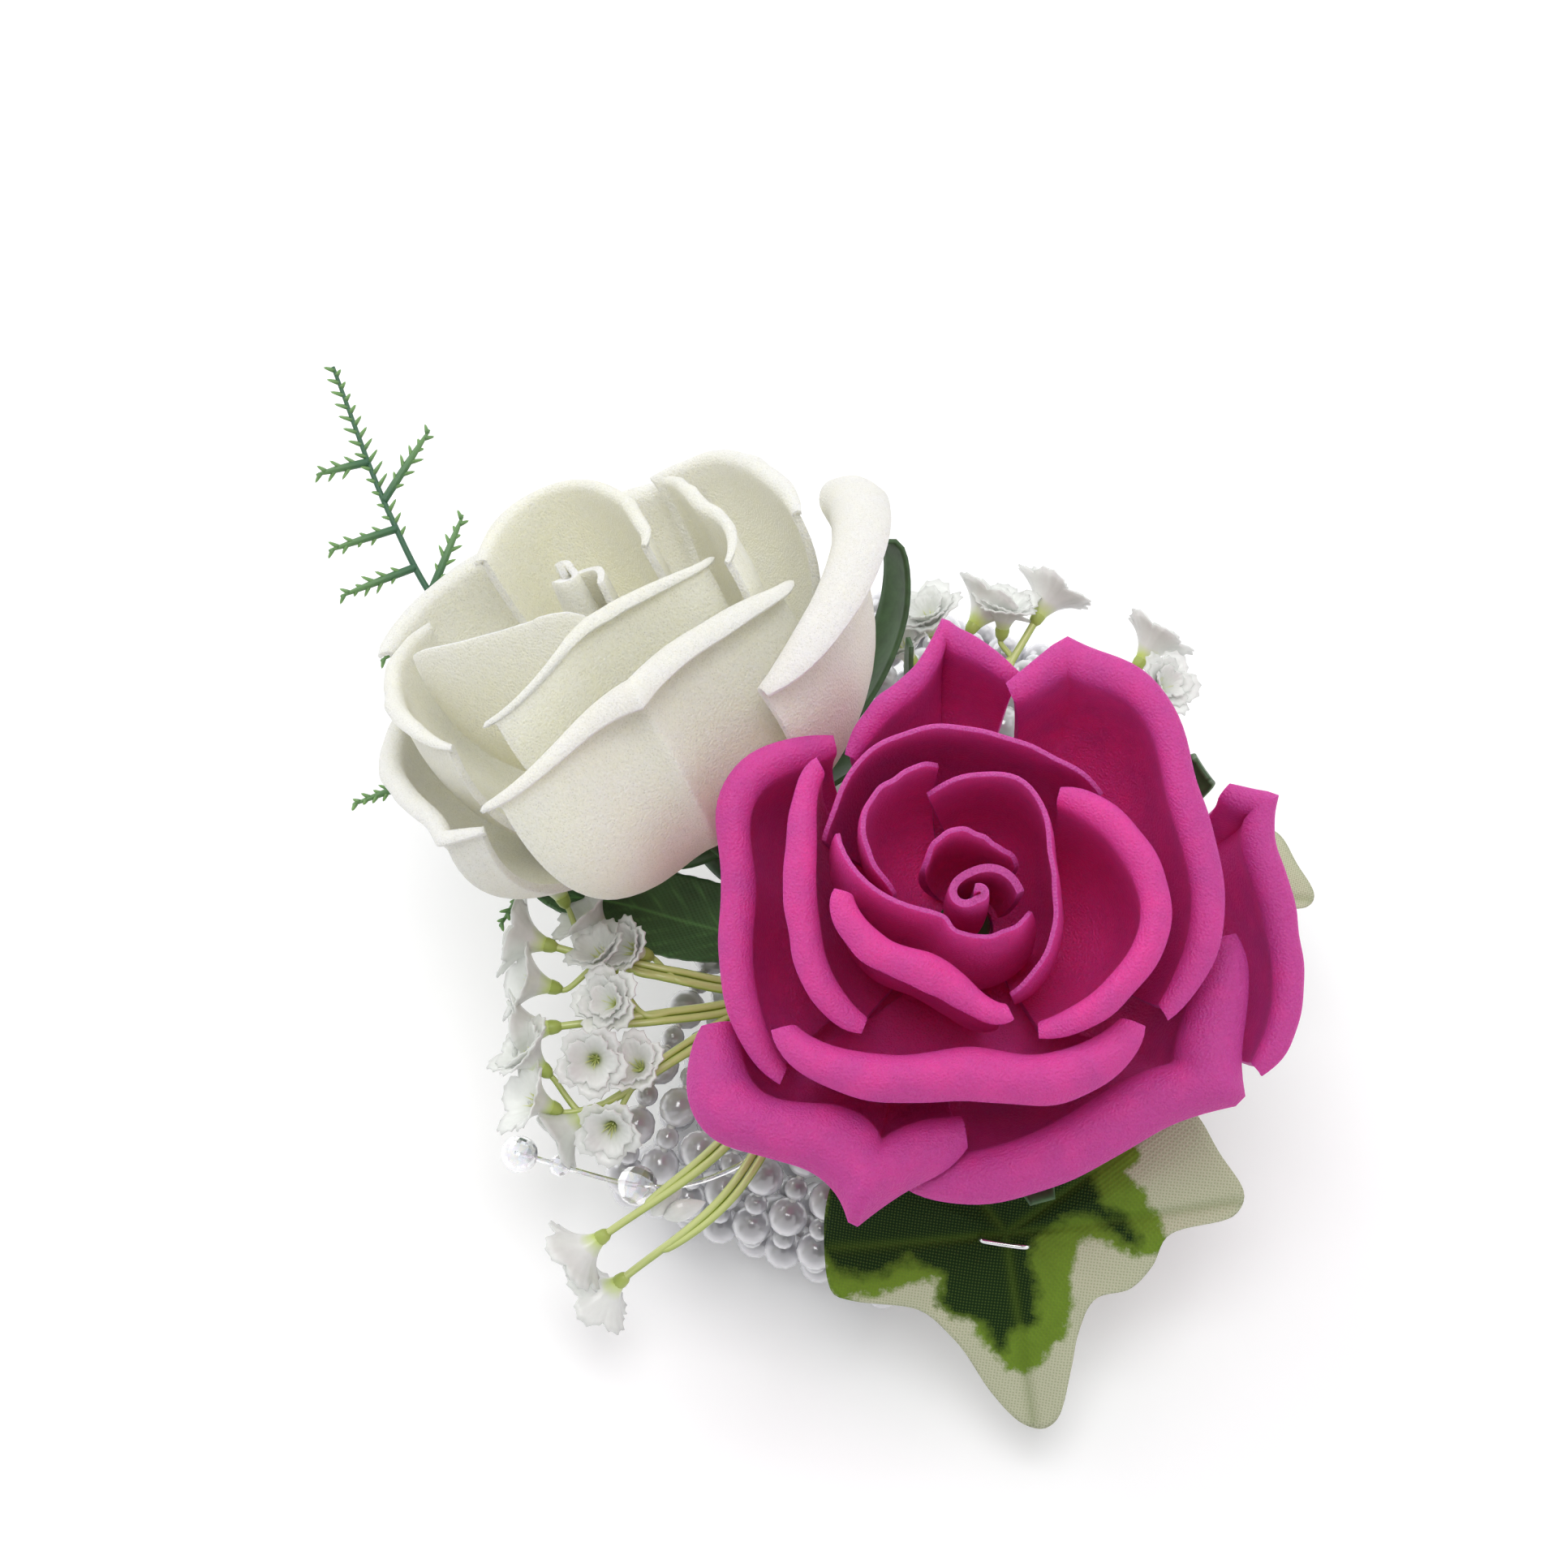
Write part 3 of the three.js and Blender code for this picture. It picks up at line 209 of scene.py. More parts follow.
def grid_faces(rows, columns, start=0, closed=False):
    """Quads of a grid of points, row by row; closed joins the last column to the first."""
    last = columns if closed else columns - 1
    row, column = np.meshgrid(np.arange(rows - 1) * columns, np.arange(last), indexing="ij")
    ahead = (column + 1) % columns
    corners = [row + column, row + ahead, row + columns + ahead, row + columns + column]
    return np.stack(corners, -1).reshape(-1, 4) + start


def join_parts(parts):
    """Points and faces of several parts as one list."""
    points, faces, count = [], [], 0
    for part_points, part_faces in parts:
        points.append(np.asarray(part_points).reshape(-1, 3))
        faces.extend((np.asarray(face) + count).tolist() for face in part_faces)
        count += len(points[-1])
    return np.concatenate(points), faces


def surface_normals(points):
    """Unit normals of a grid: the cross product of its differences along columns and along rows."""
    return unit(np.cross(np.gradient(points, axis=1), np.gradient(points, axis=0)))


def shell(points, thickness):
    """A closed sheet: the grid moved half the thickness each way along its normals, joined round the rim.
    Returns points, faces, and 1 for each rim face."""
    rows, columns = points.shape[:2]
    normals = surface_normals(points)
    half = np.asarray(thickness) / 2
    half = half[..., None] if half.ndim else half
    layers = np.concatenate([(points + side * normals * half).reshape(-1, 3) for side in (1, -1)])
    back = rows * columns
    front_faces = grid_faces(rows, columns)
    back_faces = grid_faces(rows, columns, back)[:, ::-1]
    foot = np.arange(columns - 1)
    head = foot + (rows - 1) * columns
    left = np.arange(rows - 1) * columns
    right = left + columns - 1
    rim = np.concatenate([
        np.stack([back + foot, back + foot + 1, foot + 1, foot], -1),
        np.stack([head, head + 1, back + head + 1, back + head], -1),
        np.stack([back + left + columns, back + left, left, left + columns], -1),
        np.stack([back + right, back + right + columns, right + columns, right], -1),
    ])
    faces = np.concatenate([front_faces, back_faces, rim])
    is_rim = np.concatenate([np.zeros(len(front_faces) + len(back_faces)), np.ones(len(rim))])
    return layers, faces, is_rim


def ring_pairs(count, start=0):
    """The places round a ring of points, and the place after each."""
    around = np.arange(count)
    return start + around, start + (around + 1) % count


def fan(hub, first, second):
    """Triangles from one point to each pair."""
    return np.stack([np.full(len(first), hub), first, second], -1).tolist()


def ring_shell(points, thickness):
    """A wall round a grid whose last column joins the first: the grid moved half the thickness each way along
    its normals, joined along both rims."""
    rows, columns = points.shape[:2]
    wrapped = np.concatenate([points[:, -1:], points, points[:, :1]], axis=1)
    step = surface_normals(wrapped)[:, 1:-1] * thickness / 2
    layers = np.concatenate([points + step, points - step]).reshape(-1, 3)
    back = rows * columns
    around, ahead = ring_pairs(columns)
    last = back - columns
    faces = np.concatenate([
        grid_faces(rows, columns, closed=True),
        grid_faces(rows, columns, back, closed=True)[:, ::-1],
        np.stack([back + around, back + ahead, ahead, around], -1),
        np.stack([last + around, last + ahead, back + last + ahead, back + last + around], -1),
    ])
    return layers, faces.tolist()


def round_edges(made, width):
    """Rounds the cut edges of a sheet."""
    bevel = made.modifiers.new("round_edges", "BEVEL")
    bevel.width = width * MM
    bevel.segments = 2
    bevel.limit_method = "ANGLE"
    bevel.angle_limit = math.radians(50)


def smooth_route(points, count, closed=False):
    """A centripetal Catmull-Rom curve through the points, sampled evenly along its length."""
    points = np.asarray(points, float)
    if closed:
        padded = np.concatenate([points[-1:], points, points[:2]])
    else:
        padded = np.concatenate([[2 * points[0] - points[1]], points, [2 * points[-1] - points[-2]]])
    p0, p1, p2, p3 = padded[:-3], padded[1:-2], padded[2:-1], padded[3:]
    steps = [np.sqrt(np.linalg.norm(b - a, axis=1, keepdims=True)) for a, b in ((p0, p1), (p1, p2), (p2, p3))]
    d0, d1, d2 = (np.maximum(step, 1e-6) for step in steps)
    m1 = ((p1 - p0) / d0 - (p2 - p0) / (d0 + d1) + (p2 - p1) / d1) * d1
    m2 = ((p2 - p1) / d1 - (p3 - p1) / (d1 + d2) + (p3 - p2) / d2) * d1
    t = np.linspace(0, 1, CURVE_STEPS, endpoint=False)[None, :, None]
    a, b, c, d = (p[:, None, :] for p in (p1, m1, p2, m2))
    curve = (2 * t**3 - 3 * t**2 + 1) * a + (t**3 - 2 * t**2 + t) * b
    curve = curve + (-2 * t**3 + 3 * t**2) * c + (t**3 - t**2) * d
    curve = np.concatenate([curve.reshape(-1, points.shape[1]), points[:1] if closed else points[-1:]])
    reach = np.concatenate([[0], np.cumsum(np.linalg.norm(np.diff(curve, axis=0), axis=1))])
    wanted = np.linspace(0, reach[-1], count, endpoint=not closed)
    return np.stack([np.interp(wanted, reach, curve[:, k]) for k in range(points.shape[1])], -1)


def tube(path, radii, sides, up=(0, 0, 1)):
    """A round tube: each path point carries a circle square to the path, and both ends are capped."""
    path = np.asarray(path, float)
    ahead = unit(np.gradient(path, axis=0))
    side = unit(np.cross(ahead, np.asarray(up, float)))
    over = np.cross(side, ahead)
    angle = np.linspace(0, 2 * math.pi, sides, endpoint=False)
    radii = np.broadcast_to(np.asarray(radii, float), (len(path),))[:, None, None]
    ring = np.cos(angle)[:, None] * side[:, None] + np.sin(angle)[:, None] * over[:, None]
    points = (path[:, None] + ring * radii).reshape(-1, 3)
    faces = grid_faces(len(path), sides, closed=True).tolist()
    faces += fan(len(points), *ring_pairs(sides)[::-1])
    faces += fan(len(points) + 1, *ring_pairs(sides, len(points) - sides))
    return np.concatenate([points, path[:1], path[-1:]]), faces


def ball(rings, segments):
    """A unit ball about Y: rows from pole to pole, with one point at each pole."""
    polar = np.linspace(0, math.pi, rings + 1)[1:-1]
    angle = np.linspace(0, 2 * math.pi, segments, endpoint=False)
    x = np.sin(polar)[:, None] * np.cos(angle)
    z = np.sin(polar)[:, None] * np.sin(angle)
    y = np.broadcast_to(np.cos(polar)[:, None], x.shape)
    points = np.concatenate([np.stack([x, y, z], -1).reshape(-1, 3), [[0, 1, 0], [0, -1, 0]]])
    faces = grid_faces(rings - 1, segments, closed=True)[:, ::-1].tolist()
    faces += fan(len(points) - 2, *ring_pairs(segments))
    faces += fan(len(points) - 1, *ring_pairs(segments, (rings - 2) * segments)[::-1])
    return points, faces


def scatter(template, centres, frames, radii):
    """Copies of a template at each centre, turned by each frame and scaled by each radius."""
    points, faces = template
    copies = np.einsum("nij,pj->npi", frames, points) * np.asarray(radii)[:, None, None]
    shift = np.arange(len(centres))[:, None] * len(points)
    copied = [row for face in faces for row in (np.asarray(face) + shift).tolist()]
    return (copies + centres[:, None]).reshape(-1, 3), copied


def turned_body(across, along, heights, sides):
    """Rings about Z by their half widths across and along and their heights; flat faces close both ends."""
    angle = np.linspace(0, 2 * math.pi, sides, endpoint=False)
    across, along, heights = (np.asarray(values, float)[:, None] for values in (across, along, heights))
    points = np.stack(np.broadcast_arrays(across * np.cos(angle), along * np.sin(angle), heights), -1)
    last = (len(heights) - 1) * sides
    ends = [list(range(sides - 1, -1, -1)), list(range(last, last + sides))]
    return points.reshape(-1, 3), grid_faces(len(heights), sides, closed=True).tolist() + ends


# Shader making


def node(tree, kind, **values):
    """A node with its inputs and settings by name."""
    made = tree.nodes.new(kind)
    for key, value in values.items():
        label = key.replace("_", " ")
        if label in made.inputs:
            made.inputs[label].default_value = value
        else:
            setattr(made, key, value)
    return made


def ramp(tree, factor, stops):
    """A colour ramp through (place, colour) stops."""
    made = tree.nodes.new("ShaderNodeValToRGB")
    marks = made.color_ramp.elements
    while len(marks) < len(stops):
        marks.new(0.5)
    for mark, (place, colour) in zip(marks, stops):
        mark.position = place
        mark.color = (*colour, 1)
    tree.links.new(factor, made.inputs[0])
    return made.outputs[0]


def blend_colours(tree, factor, first, second, mode="MIX"):
    """first towards second by factor; each may be a colour or a socket."""
    made = tree.nodes.new("ShaderNodeMix")
    made.data_type = "RGBA"
    made.blend_type = mode
    for socket, value in ((made.inputs[0], factor), (made.inputs[6], first), (made.inputs[7], second)):
        if isinstance(value, bpy.types.NodeSocket):
            tree.links.new(value, socket)
        elif socket is made.inputs[0]:
            socket.default_value = value
        else:
            socket.default_value = (*value[:3], 1)
    return made.outputs[2]


def calculate(tree, operation, first, second=None):
    """One sum of two values, each a number or a socket."""
    made = node(tree, "ShaderNodeMath", operation=operation)
    for socket, value in zip(made.inputs, (first, second)):
        if isinstance(value, bpy.types.NodeSocket):
            tree.links.new(value, socket)
        elif value is not None:
            socket.default_value = value
    return made.outputs[0]


def object_noise(tree, scale, detail=2.0, roughness=0.5):
    """Noise over the piece's own place."""
    noise = node(tree, "ShaderNodeTexNoise", Scale=scale, Detail=detail, Roughness=roughness)
    tree.links.new(tree.nodes.new("ShaderNodeTexCoord").outputs["Object"], noise.inputs["Vector"])
    return noise.outputs[0]


def waver(tree, noise, strength):
    """Noise as a small push either way."""
    return calculate(tree, "MULTIPLY", calculate(tree, "SUBTRACT", noise, 0.5), strength)


def mirrored_rays(tree):
    """The Light Path node, and 1 for rays from glossy or clear surfaces."""
    rays = tree.nodes.new("ShaderNodeLightPath")
    glossy, clear = rays.outputs["Is Glossy Ray"], rays.outputs["Is Transmission Ray"]
    return rays, calculate(tree, "MAXIMUM", glossy, clear)


def attribute(tree, label):
    """A named share of the piece's points."""
    return node(tree, "ShaderNodeAttribute", attribute_name=label).outputs["Fac"]


def tinted(colour, share, lift=0.0):
    """A colour darkened or brightened by the share, and lifted."""
    return tuple(min(1, channel * share + lift) for channel in colour)


def surface_material(name, **values):
    """A material with one Principled shader, and that shader."""
    material = bpy.data.materials.new(name)
    material.use_nodes = True
    shader = material.node_tree.nodes["Principled BSDF"]
    for key, value in values.items():
        shader.inputs[key.replace("_", " ")].default_value = value
    return material, material.node_tree, shader


def paint(tree, shader, colour):
    """The colour socket into the shader's base colour."""
    tree.links.new(colour, shader.inputs["Base Color"])


def bump(tree, shader, height, strength, distance):
    """A bump of the height into the shader's normal."""
    made = node(tree, "ShaderNodeBump", Strength=strength, Distance=distance)
    tree.links.new(height, made.inputs["Height"])
    tree.links.new(made.outputs[0], shader.inputs["Normal"])


def effect_group(name, inputs, outputs):
    """An empty shader group with float inputs (name, default) and outputs."""
    tree = bpy.data.node_groups.new(name, "ShaderNodeTree")
    for label, default in inputs:
        socket = tree.interface.new_socket(label, in_out="INPUT", socket_type="NodeSocketFloat")
        socket.default_value = default
    for label in outputs:
        tree.interface.new_socket(label, in_out="OUTPUT", socket_type="NodeSocketFloat")
    return tree, tree.nodes.new("NodeGroupInput"), tree.nodes.new("NodeGroupOutput")


def foam_grain_group():
    """Fine pores and slow mottling of moulded foam: cell noise for pores, two sizes of noise for the rest."""
    found = bpy.data.node_groups.get("foam_grain")
    if found:
        return found
    tree, given, result = effect_group(
        "foam_grain", [("Pores", 3800.0), ("Mottle", 320.0)], ["Height", "Speckle", "Mottle", "Pores"],
    )
    place = tree.nodes.new("ShaderNodeTexCoord").outputs["Object"]
    pores = node(tree, "ShaderNodeTexVoronoi", feature="F1")
    grains = node(tree, "ShaderNodeTexNoise", Detail=3.0, Roughness=0.6)
    mottle = node(tree, "ShaderNodeTexNoise", Detail=2.0)
    for texture, scale in ((pores, "Pores"), (grains, "Pores"), (mottle, "Mottle")):
        tree.links.new(place, texture.inputs["Vector"])
        tree.links.new(given.outputs[scale], texture.inputs["Scale"])
    cells, speckle = pores.outputs["Distance"], grains.outputs[0]
    tree.links.new(calculate(tree, "ADD", cells, speckle), result.inputs["Height"])
    tree.links.new(speckle, result.inputs["Speckle"])
    tree.links.new(mottle.outputs[0], result.inputs["Mottle"])
    tree.links.new(cells, result.inputs["Pores"])
    return tree


def weave_group():
    """Plain weave across the pattern map's diagonals: two crossed waves, whose product gives the dots."""
    found = bpy.data.node_groups.get("cloth_weave")
    if found:
        return found
    tree, given, result = effect_group("cloth_weave", [("Threads", 90.0)], ["Height", "Dots"])
    place = node(tree, "ShaderNodeUVMap", uv_map="pattern").outputs[0]
    parts = tree.nodes.new("ShaderNodeSeparateXYZ")
    tree.links.new(place, parts.inputs[0])
    waves = []
    for direction in ("ADD", "SUBTRACT"):
        diagonal = calculate(tree, direction, parts.outputs[0], parts.outputs[1])
        waves.append(calculate(tree, "SINE", calculate(tree, "MULTIPLY", diagonal, given.outputs["Threads"])))
    tree.links.new(calculate(tree, "ADD", *waves), result.inputs["Height"])
    tree.links.new(calculate(tree, "MULTIPLY", *waves), result.inputs["Dots"])
    return tree


def use_group(tree, group, **values):
    """A group node with its own values."""
    made = tree.nodes.new("ShaderNodeGroup")
    made.node_tree = group
    for key, value in values.items():
        made.inputs[key].default_value = value
    return made


def foam_material(name, face, deep, scatter_radius, depth):
    """Foam: the face colour turns to a deeper one towards the foot and the middle of the rose by the shade
    share, a painted shade and glow of the hollow; slow mottling, dark pores, paler grains, and light that
    soaks in."""
    material, tree, shader = surface_material(
        name, Roughness=0.62, Sheen_Weight=0.25, Sheen_Roughness=0.35, Subsurface_Weight=0.55,
        Subsurface_Radius=scatter_radius, Subsurface_Scale=depth,
    )
    shader.inputs["Sheen Tint"].default_value = (*face, 1)
    grain = use_group(tree, foam_grain_group())
    # Painted shade and glow: where the shade share is low, at the petals' feet, the bud and the inner petals,
    # the foam takes the deeper colour; the mottle noise wavers where it falls.
    shade = calculate(tree, "ADD", attribute(tree, "shade"), waver(tree, grain.outputs["Mottle"], 0.6))
    shaded_and_mottled = blend_colours(tree, ramp(tree, shade, [(0.1, WHITE), (0.95, BLACK)]), face, deep)
    speckle = ramp(tree, grain.outputs["Speckle"], [(0.45, BLACK), (0.75, WHITE)])
    speckled = calculate(tree, "MULTIPLY", speckle, 0.45)
    grained = blend_colours(tree, speckled, shaded_and_mottled, tinted(face, 1.12, 0.03))
    pores = ramp(tree, grain.outputs["Pores"], [(0.1, WHITE), (0.24, BLACK)])
    pored = blend_colours(tree, calculate(tree, "MULTIPLY", pores, 0.6), grained, tinted(deep, 0.55))
    paint(tree, shader, pored)
    bump(tree, shader, grain.outputs["Height"], 0.7, 0.00018)
    return material


def pearl_material(colour):
    """Pearl coating: lilac white with a slow cloud, greyer where it faces the eye as a painted reflection,
    under a clear gloss.
    """
    material, tree, shader = surface_material(
        "pearl_coating", Metallic=0.15, Roughness=0.2, Coat_Weight=1.0, Coat_Roughness=0.04,
        Subsurface_Weight=0.25, Subsurface_Radius=(0.8, 0.85, 1.0), Subsurface_Scale=0.001,
    )
    # Painted reflection: grey where the pearl faces the camera, paler towards its rim.
    facing = node(tree, "ShaderNodeLayerWeight", Blend=0.45).outputs["Facing"]
    body = ramp(tree, facing, [(0.0, tinted(colour, 0.5)), (0.18, tinted(colour, 0.66)), (0.45, colour)])
    cloudy = blend_colours(tree, object_noise(tree, 260.0), body, (0.98, 0.975, 0.96), "MULTIPLY")
    paint(tree, shader, cloudy)
    return material


def plain_grain_material(name, colour, dark, scale, roughness, strength, **values):
    """A moulded or fibrous finish: colour towards dark by noise, with the same noise as bump."""
    material, tree, shader = surface_material(name, Roughness=roughness, **values)
    noise = object_noise(tree, scale, 4.0, 0.65)
    paint(tree, shader, ramp(tree, noise, [(0.3, dark), (0.7, colour)]))
    bump(tree, shader, noise, strength, 0.0002)
    return material


def ivy_material(finishes):
    """Printed ivy: a dark heart inside a lime fringe on a cream cloth, by the shares of how deep each point
    lies in the two printed shapes; faint veins, and the mesh of the cloth."""
    material, tree, shader = surface_material("ivy_print", Roughness=0.6, Specular_IOR_Level=0.12)
    noise = object_noise(tree, 420.0, 6.0, 0.72)
    ragged = waver(tree, noise, 0.16)
    dark, lime, cream = tuple(finishes.ivy_heart), tuple(finishes.ivy_fringe), tuple(finishes.ivy_margin)
    olive = tinted(lime, 0.55)
    printed = cream
    for label, softness, colour in (
        ("fringe", 0.035, blend_colours(tree, noise, olive, lime)), ("heart", 0.06, dark),
    ):
        depth = calculate(tree, "ADD", attribute(tree, label), ragged)
        printed = blend_colours(tree, ramp(tree, depth, [(0.0, BLACK), (softness, WHITE)]), printed, colour)
    veins = attribute(tree, "veins")
    veined = blend_colours(tree, calculate(tree, "MULTIPLY", veins, 0.3), printed, olive)
    weave = use_group(tree, weave_group(), Threads=230.0)
    dots = calculate(tree, "MULTIPLY", calculate(tree, "MAXIMUM", weave.outputs["Dots"], 0.0), 0.45)
    paint(tree, shader, blend_colours(tree, dots, veined, tinted(olive, 0.9, 0.02)))
    relief = calculate(tree, "SUBTRACT", weave.outputs["Height"], calculate(tree, "MULTIPLY", veins, 4.0))
    bump(tree, shader, relief, 0.3, 0.00012)
    return material


def leaf_material(colour):
    """Woven leaf: green with paler veins and thread relief."""
    material, tree, shader = surface_material("rose_leaf_cloth", Roughness=0.6, Sheen_Weight=0.2)
    cloudy = blend_colours(tree, object_noise(tree, 300.0, 3.0), tinted(colour, 0.6), tinted(colour, 1.3))
    veined = blend_colours(tree, attribute(tree, "veins"), cloudy, tinted(colour, 2.2))
    paint(tree, shader, veined)
    weave = use_group(tree, weave_group(), Threads=130.0)
    bump(tree, shader, weave.outputs["Height"], 0.25, 0.0001)
    return material


def shaded_material(name, stops, scale, roughness, strength, **values):
    """A moulded finish whose colour runs through the stops by the shade share, wavering with noise."""
    material, tree, shader = surface_material(name, Roughness=roughness, **values)
    noise = object_noise(tree, scale, 4.0, 0.6)
    shade = calculate(tree, "ADD", attribute(tree, "shade"), waver(tree, noise, 0.35))
    paint(tree, shader, ramp(tree, shade, stops))
    bump(tree, shader, noise, strength, 0.0001)
    return material


def flower_material(throat, rim):
    """Thin milky plastic: green in the throat, whiter and clearer towards the rim by the shade share, with
    fine ribs of noise."""
    material, tree, shader = surface_material(
        "gypsophila_flower", Roughness=0.3, Sheen_Weight=0.4, Sheen_Roughness=0.5, Coat_Weight=0.2,
    )
    noise = object_noise(tree, 700.0, 3.0)
    place = calculate(tree, "ADD", attribute(tree, "shade"), waver(tree, noise, 0.3))
    paint(tree, shader, ramp(tree, place, [(0.12, throat), (0.5, rim)]))
    solidity = ramp(tree, place, [(0.2, tinted(WHITE, 0.95)), (0.85, tinted(WHITE, 0.64))])
    tree.links.new(solidity, shader.inputs["Alpha"])
    bump(tree, shader, noise, 0.25, 0.0001)
    return material


def bead_material():
    """Clear bead with a faint rainbow coat: noise picks pale rose, blue or straw."""
    material, tree, shader = surface_material(
        "clear_bead", Roughness=0.03, Transmission_Weight=0.8, IOR=1.5, Coat_Weight=0.6, Coat_Roughness=0.02,
    )
    tints = ramp(tree, object_noise(tree, 900.0, 1.0), [
        (0.32, (0.96, 0.84, 0.95)), (0.46, (0.84, 0.92, 0.99)), (0.56, (0.98, 0.96, 0.86)),
        (0.68, (0.88, 0.85, 0.99)),
    ])
    paint(tree, shader, tints)
    return material


def frosted_material():
    """Frosted clear drop: milky, with fine streaks of noise."""
    material, tree, shader = surface_material(
        "frosted_drop", Roughness=0.3, Coat_Weight=0.3, Subsurface_Weight=0.6,
        Subsurface_Radius=(1, 1, 1), Subsurface_Scale=0.0015,
    )
    noise = object_noise(tree, 600.0, 3.0)
    milk = ramp(tree, noise, [(0.3, (0.8, 0.82, 0.83)), (0.7, (0.93, 0.94, 0.93))])
    paint(tree, shader, milk)
    bump(tree, shader, noise, 0.3, 0.0001)
    return material


# Sizes and colours that a user would change


def length_property(name, description, default, least):
    """A length with its least value."""
    return bpy.props.FloatProperty(
        name=name, description=description, default=default * MM, min=least * MM, unit="LENGTH",
    )


class CorsageSizes(bpy.types.PropertyGroup):
    """Sizes of the finer surfaces."""

    big_pearl: length_property("Big pearl", "Diameter of the big pearls", BIG_PEARL, 1)
    small_pearl: length_property("Small pearl", "Diameter of the small pearls", SMALL_PEARL, 0.5)
    elastic: length_property("Elastic", "Diameter of the elastic thread", 0.9, 0.2)
    needle_spacing: length_property("Needle spacing", "Distance between the fern's needles", 1.5, 0.5)
    petal_columns: bpy.props.IntProperty(
        name="Petal columns", description="Points across each petal", default=49, min=9, subtype="UNSIGNED",
    )


def colour_property(name, description, default):
    """A colour picker with three channels."""
    return bpy.props.FloatVectorProperty(
        name=name, description=description, default=default, size=3, min=0, max=1, subtype="COLOR",
    )


class CorsageFinishes(bpy.types.PropertyGroup):
    """Colours of the corsage."""

    pink_face: colour_property("Pink foam", "Face of the pink petals", (0.55, 0.047, 0.31))
    # Deep pink shows in slow mottling and, by the shade share, as painted shade and glow towards the petals'
    # feet, the bud and the inner petals; it also darkens the pores.
    pink_deep: colour_property("Deep pink", "Mottling of the pink petals", (1.0, 0.05, 0.35))
    pink_edge: colour_property("Pink edge", "Cut edges of the pink petals", (0.58, 0.085, 0.36))
    ivory_face: colour_property("Ivory foam", "Face of the ivory petals", (0.85, 0.84, 0.775))
    # Deep ivory shows in slow mottling and, by the shade share, as painted shade and warm glow towards the
    # petals' feet, the bud and the inner petals; it also darkens the pores.
    ivory_deep: colour_property("Deep ivory", "Mottling of the ivory petals", (0.88, 0.86, 0.65))
    ivory_edge: colour_property("Ivory edge", "Cut edges of the ivory petals", (0.87, 0.86, 0.81))
    pearl: colour_property("Pearl", "Pearl coating", (0.8, 0.8, 0.84))
    ivy_heart: colour_property("Ivy heart", "Middle of the ivy leaves", (0.004, 0.02, 0.001))
    ivy_fringe: colour_property("Ivy fringe", "Lime band of the ivy leaves", (0.2, 0.33, 0.03))
    ivy_margin: colour_property("Ivy margin", "Cream margin of the ivy leaves", (0.56, 0.57, 0.4))
    leaf: colour_property("Rose leaf", "Rose leaf cloth", (0.05, 0.14, 0.035))
    fern: colour_property("Fern", "Fern stems", (0.035, 0.12, 0.06))
    fern_tip: colour_property("Fern tips", "Tips of the fern's needles", (0.2, 0.38, 0.11))
    calyx: colour_property("Calyx", "Rose calyx and sepals", (0.055, 0.13, 0.04))


# Stage


